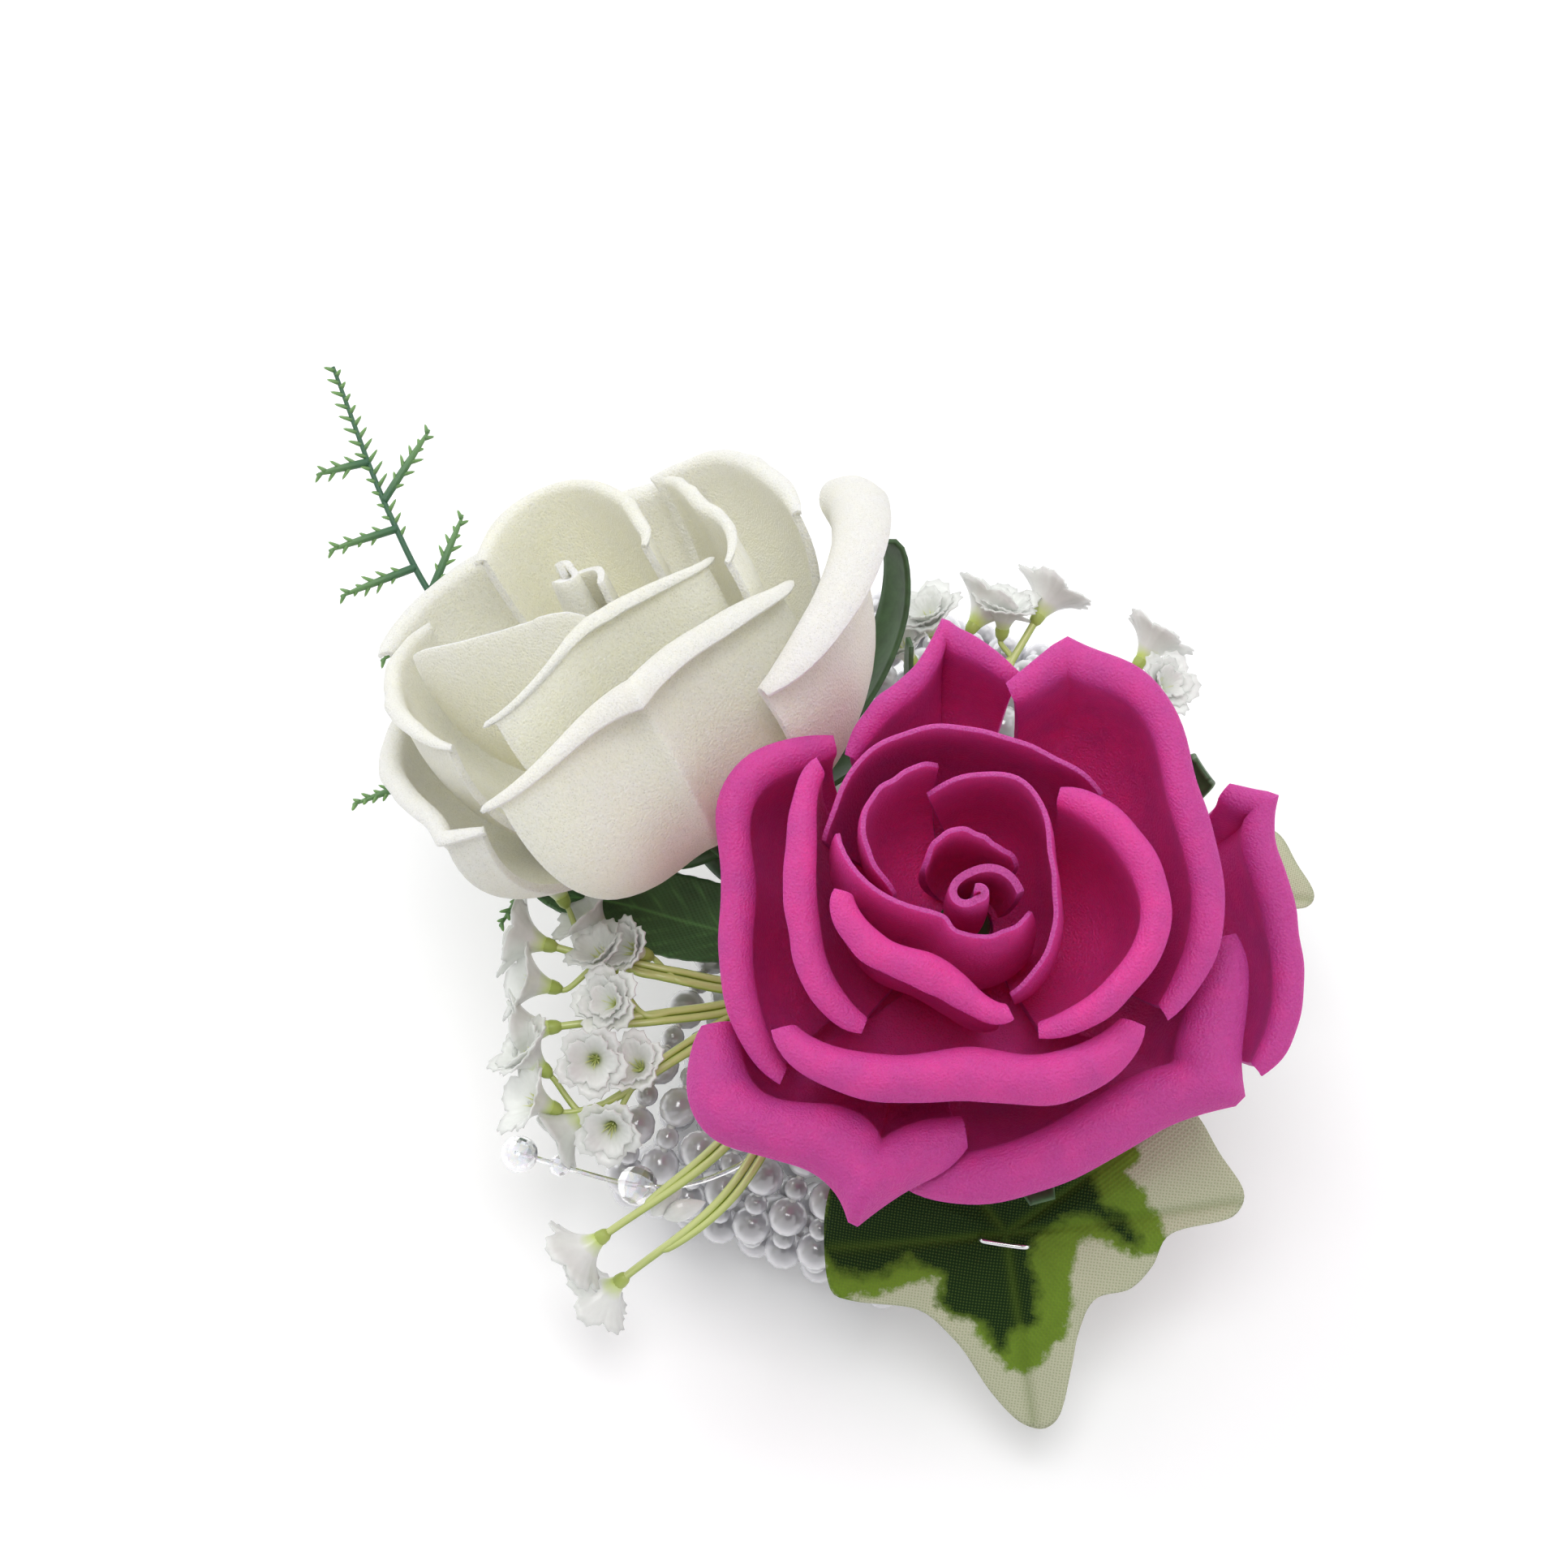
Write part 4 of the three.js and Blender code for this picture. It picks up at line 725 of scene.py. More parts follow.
class CORSAGE_OT_stage(bpy.types.Operator):
    """Floor, soft lights and the camera"""

    bl_idname = "corsage.stage"
    bl_label = "Set the stage"

    def execute(self, context):
        scene = context.scene
        scene.view_settings.view_transform = "Standard"
        forward = np.array([
            -math.sin(CAMERA_AZIMUTH) * math.cos(CAMERA_ELEVATION),
            math.cos(CAMERA_AZIMUTH) * math.cos(CAMERA_ELEVATION),
            -math.sin(CAMERA_ELEVATION),
        ])
        right = unit(np.cross(forward, (0, 0, 1)))
        up = np.cross(right, forward)
        shift = (np.array(TARGET_PIXEL) - np.array(IMAGE_SIZE) / 2) * CAMERA_DISTANCE / CAMERA_FOCAL_PIXELS
        place = np.array(TARGET) - forward * CAMERA_DISTANCE - right * shift[0] + up * shift[1]
        data = bpy.data.cameras.new("camera")
        data.sensor_width = SENSOR_WIDTH
        data.lens = CAMERA_FOCAL_PIXELS / max(IMAGE_SIZE) * SENSOR_WIDTH
        data.clip_start = 0.01
        camera = bpy.data.objects.new("camera", data)
        turn = Matrix([[right[k], up[k], -forward[k]] for k in range(3)]).to_4x4()
        camera.matrix_world = Matrix.Translation(Vector(place * MM)) @ turn
        scene.collection.objects.link(camera)
        scene.camera = camera

        floor_material = bpy.data.materials.new("white_table")
        floor_material.use_nodes = True
        tree = floor_material.node_tree
        shader = tree.nodes["Principled BSDF"]
        shader.inputs["Roughness"].default_value = 0.35
        pale = blend_colours(tree, object_noise(tree, 6.0), (0.93, 0.93, 0.935), (0.96, 0.96, 0.96))
        paint(tree, shader, pale)
        lift = node(tree, "ShaderNodeEmission", Color=(1, 1, 1, 1))
        rays, mirrored = mirrored_rays(tree)
        seen = calculate(tree, "MAXIMUM", rays.outputs["Is Camera Ray"], mirrored)
        tree.links.new(calculate(tree, "MULTIPLY", seen, FLOOR_LIFT), lift.inputs["Strength"])
        both = tree.nodes.new("ShaderNodeAddShader")
        tree.links.new(shader.outputs[0], both.inputs[0])
        tree.links.new(lift.outputs[0], both.inputs[1])
        tree.links.new(both.outputs[0], tree.nodes["Material Output"].inputs["Surface"])
        quarters = ((-1, -1), (1, -1), (1, 1), (-1, 1))
        corners = [(x * FLOOR_REACH, y * FLOOR_REACH, FLOOR_HEIGHT - FLOOR_GAP) for x, y in quarters]
        floor = make_object("table_top", corners, [(0, 1, 2, 3)], [floor_material], flat=True)

        world = bpy.data.worlds.new("studio")
        scene.world = world
        world.use_nodes = True
        tree = world.node_tree
        background = tree.nodes["Background"]
        facing = node(tree, "ShaderNodeVectorMath", operation="DOT_PRODUCT")
        facing.inputs[1].default_value = -forward
        tree.links.new(tree.nodes.new("ShaderNodeTexCoord").outputs["Generated"], facing.inputs[0])
        towards = facing.outputs["Value"]
        walls = ramp(tree, towards, [(0.0, (0.92, 0.92, 0.94)), (0.9, (0.86, 0.86, 0.88)), (0.95, DARK_CARD)])
        white = (1 / WORLD_STRENGTH,) * 3
        rays, mirrored = mirrored_rays(tree)
        lit = blend_colours(tree, mirrored, walls, ramp(tree, towards, [(0.9, white), (0.95, DARK_CARD)]))
        shown = blend_colours(tree, rays.outputs["Is Camera Ray"], lit, white)
        tree.links.new(shown, background.inputs["Color"])
        background.inputs["Strength"].default_value = WORLD_STRENGTH
        for label, (place, size, power) in LAMPS.items():
            data = bpy.data.lights.new(label, "AREA")
            data.shape = "SQUARE"
            data.size = size * MM
            data.energy = power
            lamp = bpy.data.objects.new(label, data)
            lamp.location = Vector(place) * MM
            lamp.rotation_mode = "QUATERNION"
            lamp.rotation_quaternion = (-Vector(place)).to_track_quat("-Z", "Y")
            scene.collection.objects.link(lamp)
        return {"FINISHED"}


# Pearl bracelet


def loop_frame(distance):
    """Place and turn on the flattened loop, two straight runs and two half circles, from the distance along
    it, counted from the middle of the top run towards +Y."""
    s = np.mod(np.asarray(distance, float), LOOP_LENGTH)
    half, bend = HALF_STRAIGHT, math.pi * BEND_RADIUS
    middle = STRAND_HEIGHT - BEND_RADIUS
    rear = np.clip((s - half) / BEND_RADIUS, 0, math.pi)
    front = np.clip((s - 3 * half - bend) / BEND_RADIUS, 0, math.pi)
    turn = rear + front
    run = np.select(
        [s <= half, s <= half + bend, s <= 3 * half + bend, s <= 3 * half + 2 * bend],
        [s, half, 2 * half + bend - s, -half], s - LOOP_LENGTH,
    )
    return run + BEND_RADIUS * np.sin(turn), middle + BEND_RADIUS * np.cos(turn), turn


def pearl_run(sites, starts_big, across, sizes, template):
    """Pearls at the sites of one strand: each a ball whose poles lie along the strand."""
    y, z, turn = loop_frame(sites * SITE_PITCH)
    zero = np.zeros_like(turn)
    side = np.stack([zero + 1, zero, zero], -1)
    ahead = np.stack([zero, np.cos(turn), -np.sin(turn)], -1)
    out = np.stack([zero, np.sin(turn), np.cos(turn)], -1)
    big = (sites % 2 == 0) == starts_big
    radii = np.where(big, sizes.big_pearl, sizes.small_pearl) / MM / 2
    centres = np.stack([np.full_like(y, across), y, z], -1)
    return scatter(template, centres, np.stack([side, ahead, out], -1), radii)


def elastic_run(first, last, count, across, radius):
    """Elastic along the loop between two sites of one strand."""
    y, z, _ = loop_frame(np.linspace(first, last, count) * SITE_PITCH)
    return tube(np.stack([np.full_like(y, across), y, z], -1), radius, 6, up=(1, 0, 0))


class CORSAGE_OT_pearls(bpy.types.Operator):
    """Nine strands of big and small pearls on elastic"""

    bl_idname = "corsage.pearls"
    bl_label = "Thread the pearls"

    def execute(self, context):
        sizes, finishes = context.scene.corsage_sizes, context.scene.corsage_finishes
        coating = pearl_material(tuple(finishes.pearl))
        elastic = plain_grain_material(
            "elastic_thread", (0.82, 0.82, 0.8), (0.7, 0.7, 0.68), 900.0, 0.35, 0.1,
        )
        template = ball(PEARL_RINGS, PEARL_SIDES)
        radius = sizes.elastic / MM / 2
        held_sites = np.arange(-TOP_REACH, TOP_REACH + 1)
        free_sites = np.arange(TOP_REACH + 1, SITE_COUNT - TOP_REACH)
        places = (np.arange(STRAND_COUNT) - (STRAND_COUNT - 1) / 2) * STRAND_SPACING
        for strand, across in enumerate(places):
            for label, sites, body in (("held", held_sites, ROOT), ("free", free_sites, "free_run")):
                pearls = pearl_run(sites, strand % 2 == 0, across, sizes, template)
                thread = elastic_run(sites[0], sites[-1], 4 * len(sites), across, radius)
                finish = [0] * len(pearls[1]) + [1] * len(thread[1])
                made = make_object(
                    f"{label}_pearls_{strand + 1}", *join_parts([pearls, thread]), [coating, elastic], finish,
                )
                settle(made, "pearl", f"{label}_strand_{strand + 1}", body=body)
        for label, sign in (("rear", 1), ("front", -1)):
            first, last = sign * TOP_REACH, sign * (TOP_REACH + 1)
            bridges = [elastic_run(first, last, BRIDGE_POINTS, across, radius) for across in places]
            made = make_object(f"{label}_elastic", *join_parts(bridges), [elastic])
            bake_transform(made)
        return {"FINISHED"}


# Pad, plate and stems


def cushioned_oval(width, length, low, thickness, edge):
    """An oval slab with rounded edges: rings from the middle of the underside round the edge to the middle of
    the top."""
    inner = np.array([0.02, 0.35, 0.7])
    arc = np.linspace(-math.pi / 2, math.pi / 2, 9)
    flat = np.zeros(len(inner))
    share = np.concatenate([inner, np.ones(len(arc)), inner[::-1]])
    swell = edge * np.concatenate([flat, np.cos(arc), flat])
    rise = np.concatenate([flat - 1, np.sin(arc), flat + 1])
    across, along = (share * (size / 2 - edge) + swell for size in (width, length))
    return turned_body(across, along, low + thickness / 2 * (1 + rise), OVAL_SIDES)


def rose_knee(rose):
    """Where the rose's axis meets the height of the bundle."""
    base, axis = np.array(rose["base"], float), unit(rose["axis"])
    return base + axis * (BUNDLE_HEIGHT - base[2]) / axis[2]


def bundle_line():
    """The middle of the bundle and its direction, from the ivory rose's knee to the pink one's."""
    ends = np.array([rose_knee(IVORY_ROSE), rose_knee(PINK_ROSE)])
    return ends.mean(0), unit(ends[1] - ends[0])


class CORSAGE_OT_backing(bpy.types.Operator):
    """Felt pad under the strands, plate over them and the taped bundle of stems"""

    bl_idname = "corsage.backing"
    bl_label = "Lay the pad and plate"

    def execute(self, context):
        felt = plain_grain_material(
            "pad_felt", (0.86, 0.85, 0.82), (0.76, 0.75, 0.71), 1400.0, 0.95, 0.6, Sheen_Weight=0.4,
        )
        points, faces = cushioned_oval(PAD_WIDTH, PAD_LENGTH, 0, PAD_THICKNESS, PAD_THICKNESS / 2)
        pad = settle(make_object("felt_pad", points, faces, [felt]), "felt", "wrist_pad")
        plastic = plain_grain_material(
            "plate_plastic", (0.82, 0.82, 0.79), (0.74, 0.74, 0.71), 220.0, 0.45, 0.15,
        )
        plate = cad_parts["backing_plate"]
        plate.data.materials.clear()
        plate.data.materials.append(plastic)

        tape = plain_grain_material("florist_tape", (0.1, 0.2, 0.05), (0.055, 0.12, 0.03), 700.0, 0.7, 0.5)
        middle, direction = bundle_line()
        share = np.linspace(-1, 1, BUNDLE_POINTS)
        path = middle + direction * (share * BUNDLE_LENGTH / 2)[:, None]
        wraps = np.abs(np.mod(share * 5.5, 1) - 0.5)
        taper = np.minimum(1, 0.72 + 3.2 * (1 - np.abs(share)))
        radii = (BUNDLE_DIAMETER / 2) * taper * (0.93 + 0.14 * wraps)
        bundle = make_object("taped_stems", *tube(path, radii, BUNDLE_SIDES), [tape])
        settle(bundle, "tape", "stem_bundle")
        return {"FINISHED"}


# Roses

# Petals from the bud outwards: angle and half width in degrees; the rim's radius and its height at five
# places from start to end, the foot's height, bulge and lip as shares; place and size of the lip's point
PINK_PETALS = [
    (95, 58, (0.18, 0.18, 0.2, 0.21, 0.19), (0.9, 0.95, 0.98, 0.98, 0.93), 0.37, 0.03, 0, (0, 0)),
    (251, 96, (0.5, 0.16, 0.135, 0.145, 0.19), (0.98, 0.95, 0.93, 0.92, 0.94), 0.33, 0.1, 0, (0, 0)),
    (141, 36, (0.45, 0.47, 0.46, 0.38, 0.26), (0.95, 0.97, 0.97, 0.95, 0.9), 0.33, 0.04, 0, (0, 0)),
    (23, 93, (0.33, 0.28, 0.27, 0.4, 0.37), (0.88, 0.93, 0.98, 1, 0.96), 0.285, 0.06, 0, (0, 0)),
    (-127, 55, (0.42, 0.34, 0.25, 0.27, 0.38), (0.93, 0.92, 0.9, 0.88, 0.88), 0.28, 0.1, 0.06, (0, 0)),
    (-7, 59, (0.47, 0.53, 0.57, 0.5, 0.42), (0.84, 0.9, 0.92, 0.92, 0.9), 0.24, 0.06, 0.045, (0, 0)),
    (99, 60, (0.56, 0.53, 0.56, 0.58, 0.54), (0.9, 0.94, 0.96, 0.94, 0.9), 0.24, 0.05, 0, (0, 0)),
    (184, 46, (0.66, 0.57, 0.54, 0.55, 0.54), (0.86, 0.88, 0.88, 0.86, 0.82), 0.195, 0.06, 0.05, (0, 0)),
    (-92, 56, (0.74, 0.6, 0.5, 0.57, 0.64), (0.8, 0.82, 0.82, 0.82, 0.82), 0.195, 0.1, 0.09, (0, 0)),
    (176, 47, (0.7, 0.82, 0.75, 0.79, 0.84), (0.74, 0.78, 0.76, 0.74, 0.7), 0.14, 0.06, 0.055, (0, 0)),
    (25, 57, (0.72, 0.74, 0.74, 0.84, 0.66), (0.8, 0.84, 0.87, 0.88, 0.86), 0.195, 0.05, 0.05, (0.8, 0.1)),
    (104, 27, (0.76, 0.8, 0.73, 0.68, 0.64), (0.82, 0.84, 0.84, 0.82, 0.8), 0.165, 0.04, 0.03, (-0.3, 0.1)),
    (-124, 33, (0.9, 0.95, 0.8, 0.74, 0.7), (0.62, 0.64, 0.64, 0.62, 0.6), 0.1, 0.05, 0.12, (0.4, 0.1)),
    (-56, 52, (0.84, 0.8, 0.76, 0.78, 0.82), (0.52, 0.58, 0.62, 0.62, 0.6), 0.1, 0.06, 0.1, (0.4, 0.1)),
    (-2, 28, (1.09, 1.08, 1.01, 0.94, 0.9), (0.66, 0.66, 0.68, 0.7, 0.7), 0.055, 0.04, 0.05, (0.8, 0.1)),
]
IVORY_PETALS = [
    (-50, 55, (0.74, 0.4, 0.26, 0.24, 0.26), (0.92, 0.92, 0.92, 0.92, 0.9), 0.33, 0.08, 0, (0, 0)),
    (142, 79, (0.36, 0.36, 0.48, 0.7, 0.5), (0.96, 0.98, 1, 1, 0.98), 0.33, 0.05, 0.02, (0, 0)),
    (12, 48, (0.9, 0.46, 0.36, 0.42, 0.62), (0.86, 0.88, 0.88, 0.88, 0.88), 0.28, 0.1, 0.05, (0, 0)),
    (92, 42, (0.76, 0.7, 0.6, 0.62, 0.7), (0.9, 0.93, 0.95, 0.95, 0.93), 0.235, 0.06, 0.02, (0, 0)),
    (15, 48, (1.2, 0.84, 0.68, 0.74, 0.84), (0.72, 0.76, 0.76, 0.76, 0.72), 0.09, 0.17, 0.09, (-0.25, 0.1)),
    (-95, 44, (0.94, 0.9, 0.85, 0.84, 0.88), (0.78, 0.8, 0.8, 0.8, 0.78), 0.2, 0.06, 0.03, (0, 0)),
    (69, 43, (1.03, 1.02, 1.02, 1.06, 1.14), (0.62, 0.66, 0.68, 0.68, 0.66), 0.05, 0.09, 0.14, (0, 0)),
    (120, 32, (0.94, 0.94, 0.98, 1.02, 0.98), (0.8, 0.84, 0.86, 0.86, 0.84), 0.19, 0.05, 0.03, (0, 0)),
    (186, 50, (1.06, 1.04, 1.02, 1.05, 1.04), (0.76, 0.78, 0.8, 0.8, 0.78), 0.15, 0.05, 0.04, (0, 0)),
    (-86, 44, (1.06, 1.02, 0.97, 0.97, 1.02), (0.6, 0.58, 0.58, 0.58, 0.58), 0.1, 0.06, 0.04, (0.8, 0.1)),
]

# Sepals: angle where each leaves the cup, and its route outwards and up as shares of the radius
PINK_ROSE = {
    "name": "pink",
    "base": (10.6, -6.8, 15),
    "axis": (0.172, -0.329, 0.93),
    "facing": (0.92, 0.39, 0),
    "radius": 30,
    "height": 35,
    "bud": (5, 1.3, 4.6),
    "lean": (-0.025, 0.074),
    "side": 1,
    "petals": PINK_PETALS,
    "sepals": [
        (285, [(0.1, -0.04), (0.4, 0.06), (0.75, 0.26), (0.98, 0.46)]),
        (157, [(0.1, -0.04), (0.45, -0.03), (0.8, 0.06), (0.95, 0.22), (0.92, 0.38)]),
        (34, [(0.1, -0.04), (0.5, -0.03), (0.85, 0.08), (1.02, 0.26), (1.0, 0.42)]),
    ],
}
IVORY_ROSE = {
    "name": "ivory",
    "base": (-20, -6.6, 16),
    "axis": (-0.555, 0.304, 0.773),
    "facing": (0.484, -0.636, 0.599),
    "radius": 26,
    "height": 35,
    "bud": (40, 1.8, 4.4),
    "lean": (-0.09, -0.006),
    "side": -1,
    "petals": IVORY_PETALS,
    "sepals": [
        (113, [(0.1, -0.05), (0.5, -0.04), (0.95, 0.06), (1.28, 0.3), (1.38, 0.56), (1.24, 0.64)]),
        (85, [(0.1, -0.05), (0.55, -0.03), (0.98, 0.1), (1.14, 0.4)]),
        (230, [(0.1, -0.05), (0.24, -0.03), (0.38, 0.01), (0.5, 0.08)]),
    ],
}


def rose_axes(rose):
    """The rose's own axes as rows: the facing made square to the axis, the third, and the axis."""
    axis = unit(rose["axis"])
    facing = np.array(rose["facing"], float)
    x = unit(facing - axis * facing.dot(axis))
    return np.array([x, np.cross(axis, x), axis])


def to_world(rose, points):
    """From the rose's own axes to the corsage's."""
    return points @ rose_axes(rose) + np.array(rose["base"], float)


def through(values, u):
    """A uniform Catmull-Rom curve through evenly spaced values."""
    values = np.asarray(values, float)
    last = len(values) - 1
    place = u * last
    start = np.minimum(place.astype(int), last - 1)
    t = place - start
    before, after = np.maximum(start - 1, 0), np.minimum(start + 2, last)
    first = (values[start + 1] - values[before]) / 2
    second = (values[after] - values[start]) / 2
    low, high = values[start], values[start + 1]
    cubic = (2 * low - 2 * high + first + second) * t**3
    return cubic + (3 * high - 3 * low - 2 * first - second) * t**2 + first * t + low


def lean_over(rose, out, turn, up):
    """Local points from radius, angle and height; the middle of the rose leans with the height squared."""
    leaning = (up / rose["height"]) ** 2 * rose["radius"]
    x = out * np.cos(turn) + rose["lean"][0] * leaning
    y = out * np.sin(turn) + rose["lean"][1] * leaning
    return np.stack([x, y, up], -1)


def petal_points(rose, petal, columns, rows):
    """A petal: across, the angle runs over the half width, narrower at the foot; along, a quarter ellipse
    with a bulge from the foot to the rim, then an arc of the lip's radius. The rim follows a curve through
    five radii and five heights. Fine ruffles grow towards the rim."""
    angle, half, rim_shares, top_shares, seat_share, bulge, lip, (point, point_size) = petal
    radius, height = rose["radius"], rose["height"]
    u = np.linspace(0, 1, columns)[None, :]
    side = 2 * u - 1
    v = np.linspace(0, 1, rows)[:, None] * (1 - 0.05 * np.abs(side) ** 9)
    spread = FOOT_SPREAD + (1 - FOOT_SPREAD) * np.sqrt(v)
    turn = math.radians(angle) + math.radians(half) * side * spread
    rim, top = radius * through(rim_shares, u), height * through(top_shares, u)
    seat = height * seat_share
    cup = np.minimum(v / (CUP_SHARE if lip > 0 else 1), 1)
    ease = 1 - side**4 / 2
    rise = cup * math.pi / 2
    peak = point_size * np.exp(-np.abs(side - point) / POINT_WIDTH)
    rim = rim + radius * peak
    out = FOOT_RADIUS + (rim - FOOT_RADIUS) * np.sin(rise) + radius * bulge * ease * np.sin(math.pi * cup)
    up = seat + (top - seat) * (1 - np.cos(rise))
    if lip > 0:
        curl = LIP_TURN * np.clip((v - CUP_SHARE) / (1 - CUP_SHARE), 0, 1)
        roll = radius * lip * ease * (1 + 4 * peak)
        out = out + roll * (1 - np.cos(curl))
        up = up + roll * np.sin(curl)
    phase = angle * 0.13
    slow = np.sin(3.1 * side + phase) + 0.6 * np.sin(6.3 * side - 2 * phase)
    quick = np.sin(13 * side + 3 * phase) + 0.7 * np.sin(21 * side - phase)
    ruffle = v**2 * slow * SLOW_RUFFLE + v**6 * quick * FINE_RUFFLE
    return lean_over(rose, out + ruffle, turn, up + RUFFLE_LIFT * ruffle)


def bud_points(rose, columns, rows):
    """A sheet rolled into a spiral that ends at its own angle; the radius grows with the turn, swells from
    foot to top, closes to a cone in the inner turns and is pressed flat there; the outer end stands lower."""
    end, turns, bud_radius = rose["bud"]
    u = np.linspace(0, 1, columns)[None, :]
    v = np.linspace(0, 1, rows)[:, None]
    seat = rose["height"] * SPIKE_SHARE + SEAT_GAP
    turn = math.radians(end) + 2 * math.pi * turns * (1 - u)
    radius = (BUD_INNER_RADIUS + (bud_radius - BUD_INNER_RADIUS) * u**1.5) * (1 - (1 - v) ** 2 / 4)
    radius = radius * (1 - BUD_CLOSING * v**2 * (1 - u) ** 0.7)
    radius = radius * (1 - BUD_FLATTENING * v * (1 - u) ** 0.5 * np.sin(turn) ** 2)
    dip = BUD_WAVE * v * (np.sin(turn * 1.5) - 1) * u - BUD_DROP * v * u
    up = np.broadcast_to(seat + (rose["height"] - seat) * v + dip, radius.shape)
    return lean_over(rose, radius, turn, up)


def sepal_points(rose, sepal, columns, rows):
    """A sepal: its width swells and narrows as a sine along the route."""
    angle, route = sepal
    turn = math.radians(angle)
    out = np.array([math.cos(turn), math.sin(turn), 0])
    across = np.array([-math.sin(turn), math.cos(turn), 0])
    radius = rose["radius"]
    middle = smooth_route([out * reach * radius + (0, 0, rise * radius) for reach, rise in route], rows)
    v = np.linspace(0, 1, rows)
    width = SEPAL_WIDTH * (np.sin(math.pi * (0.16 + 0.74 * v)) ** 0.8 + 0.04)
    side = np.linspace(-0.5, 0.5, columns)
    dish = (side**2)[None, :, None] * width[:, None, None] * 0.5 * np.array([0, 0, 1])
    return middle[:, None, :] - (side[None, :] * width[:, None])[..., None] * across + dish


def form_rose(rose, sizes, foam, edge, calyx_finish):
    """Petals, bud and calyx of one rose, each its own piece."""
    name = rose["name"]
    slot = f"{name}_foam"
    v = np.linspace(0, 1, PETAL_ROWS)[:, None]
    for number, petal in enumerate(rose["petals"], 1):
        points = to_world(rose, petal_points(rose, petal, sizes.petal_columns, PETAL_ROWS))
        thickness = FOAM_THICKNESS * (1 - RIM_THINNING * v**5)
        layers, faces, is_rim = shell(points, np.broadcast_to(thickness, points.shape[:2]))
        # The shade share is painted shade and glow: low at each petal's foot and on the inner petals, where
        # the foam takes its deeper colour.
        outwards = number / len(rose["petals"])
        shade = np.broadcast_to(v * (0.45 + 0.25 * outwards) + 0.35 * outwards, points.shape[:2])
        masks = {"shade": np.tile(shade.ravel(), 2)}
        made = make_object(f"{name}_petal_foam_{number}", layers, faces, [foam, edge], is_rim, masks=masks)
        round_edges(made, PETAL_EDGE)
        settle(made, slot, f"{name}_petal_{number}")
    bud = to_world(rose, bud_points(rose, int(rose["bud"][1] * 50), BUD_ROWS))
    layers, faces, is_rim = shell(bud, BUD_THICKNESS)
    # Painted shade: the bud's lower rows take more of the deeper colour.
    shade = np.tile(np.repeat(np.linspace(0.1, 0.6, BUD_ROWS), bud.shape[1]), 2)
    made = make_object(f"{name}_bud_foam", layers, faces, [foam, edge], is_rim, masks={"shade": shade})
    round_edges(made, BUD_EDGE)
    settle(made, slot, f"{name}_bud")

    spike, cup = SPIKE_DIAMETER / 2, CUP_DIAMETER / 2
    spike_top = rose["height"] * SPIKE_SHARE
    profile = [
        (0.05, -CUP_DEPTH), (ROSE_STEM / 2, -CUP_DEPTH), (cup * 0.6, -CUP_DEPTH * 0.72),
        (cup * 0.9, -CUP_DEPTH * 0.42), (cup, -CUP_DEPTH * 0.15), (cup * 0.97, 0), (cup * 0.6, 0.25),
        (spike * 1.1, 0.5), (spike, 1.5), (spike, spike_top - 0.8), (spike * 0.8, spike_top - 0.1),
        (0.05, spike_top),
    ]
    reach, height = np.transpose(profile)
    body_points, body_faces = turned_body(reach, reach, height, CALYX_SIDES)
    parts = [(to_world(rose, body_points), body_faces)]
    middle, direction = bundle_line()
    stem_end = middle + direction * rose["side"] * (BUNDLE_LENGTH / 2 - 0.6)
    stem_start = to_world(rose, np.array([[0, 0, -CUP_DEPTH / 2]]))[0]
    knee = rose_knee(rose)
    t = np.linspace(0, 1, 24)[:, None]
    stem_path = (1 - t) ** 2 * stem_start + 2 * t * (1 - t) * knee + t**2 * stem_end
    parts.append(tube(stem_path, ROSE_STEM / 2, 14, up=(0.1, 1, 0)))
    for sepal in rose["sepals"]:
        grid = sepal_points(rose, sepal, SEPAL_COLUMNS, SEPAL_ROWS)
        layers, faces, _ = shell(to_world(rose, grid), SEPAL_THICKNESS)
        parts.append((layers, faces.tolist()))
    made = make_object(f"{name}_calyx_moulding", *join_parts(parts), [calyx_finish])
    settle(made, "calyx", f"{name}_calyx")


class CORSAGE_OT_roses(bpy.types.Operator):
    """Pink rose and ivory rose, petal by petal"""

    bl_idname = "corsage.roses"
    bl_label = "Form the roses"

    def execute(self, context):
        sizes, finishes = context.scene.corsage_sizes, context.scene.corsage_finishes
        green = tuple(finishes.calyx)
        calyx = plain_grain_material("calyx_plastic", green, tinted(green, 0.55), 380.0, 0.5, 0.3)
        for rose, soak, depth, edge_depth in (
            (PINK_ROSE, (1, 0.25, 0.6), 0.0016, 0.001), (IVORY_ROSE, (1, 0.95, 0.7), 0.003, 0.002),
        ):
            name = rose["name"]
            shades = [getattr(finishes, f"{name}_{part}") for part in ("face", "deep", "edge")]
            face, deep, edge = (tuple(shade) for shade in shades)
            foam = foam_material(f"{name}_foam", face, deep, soak, depth)
            cut = foam_material(f"{name}_cut_edge", edge, face, soak, edge_depth)
            form_rose(rose, sizes, foam, cut, calyx)
        return {"FINISHED"}


# Leaves

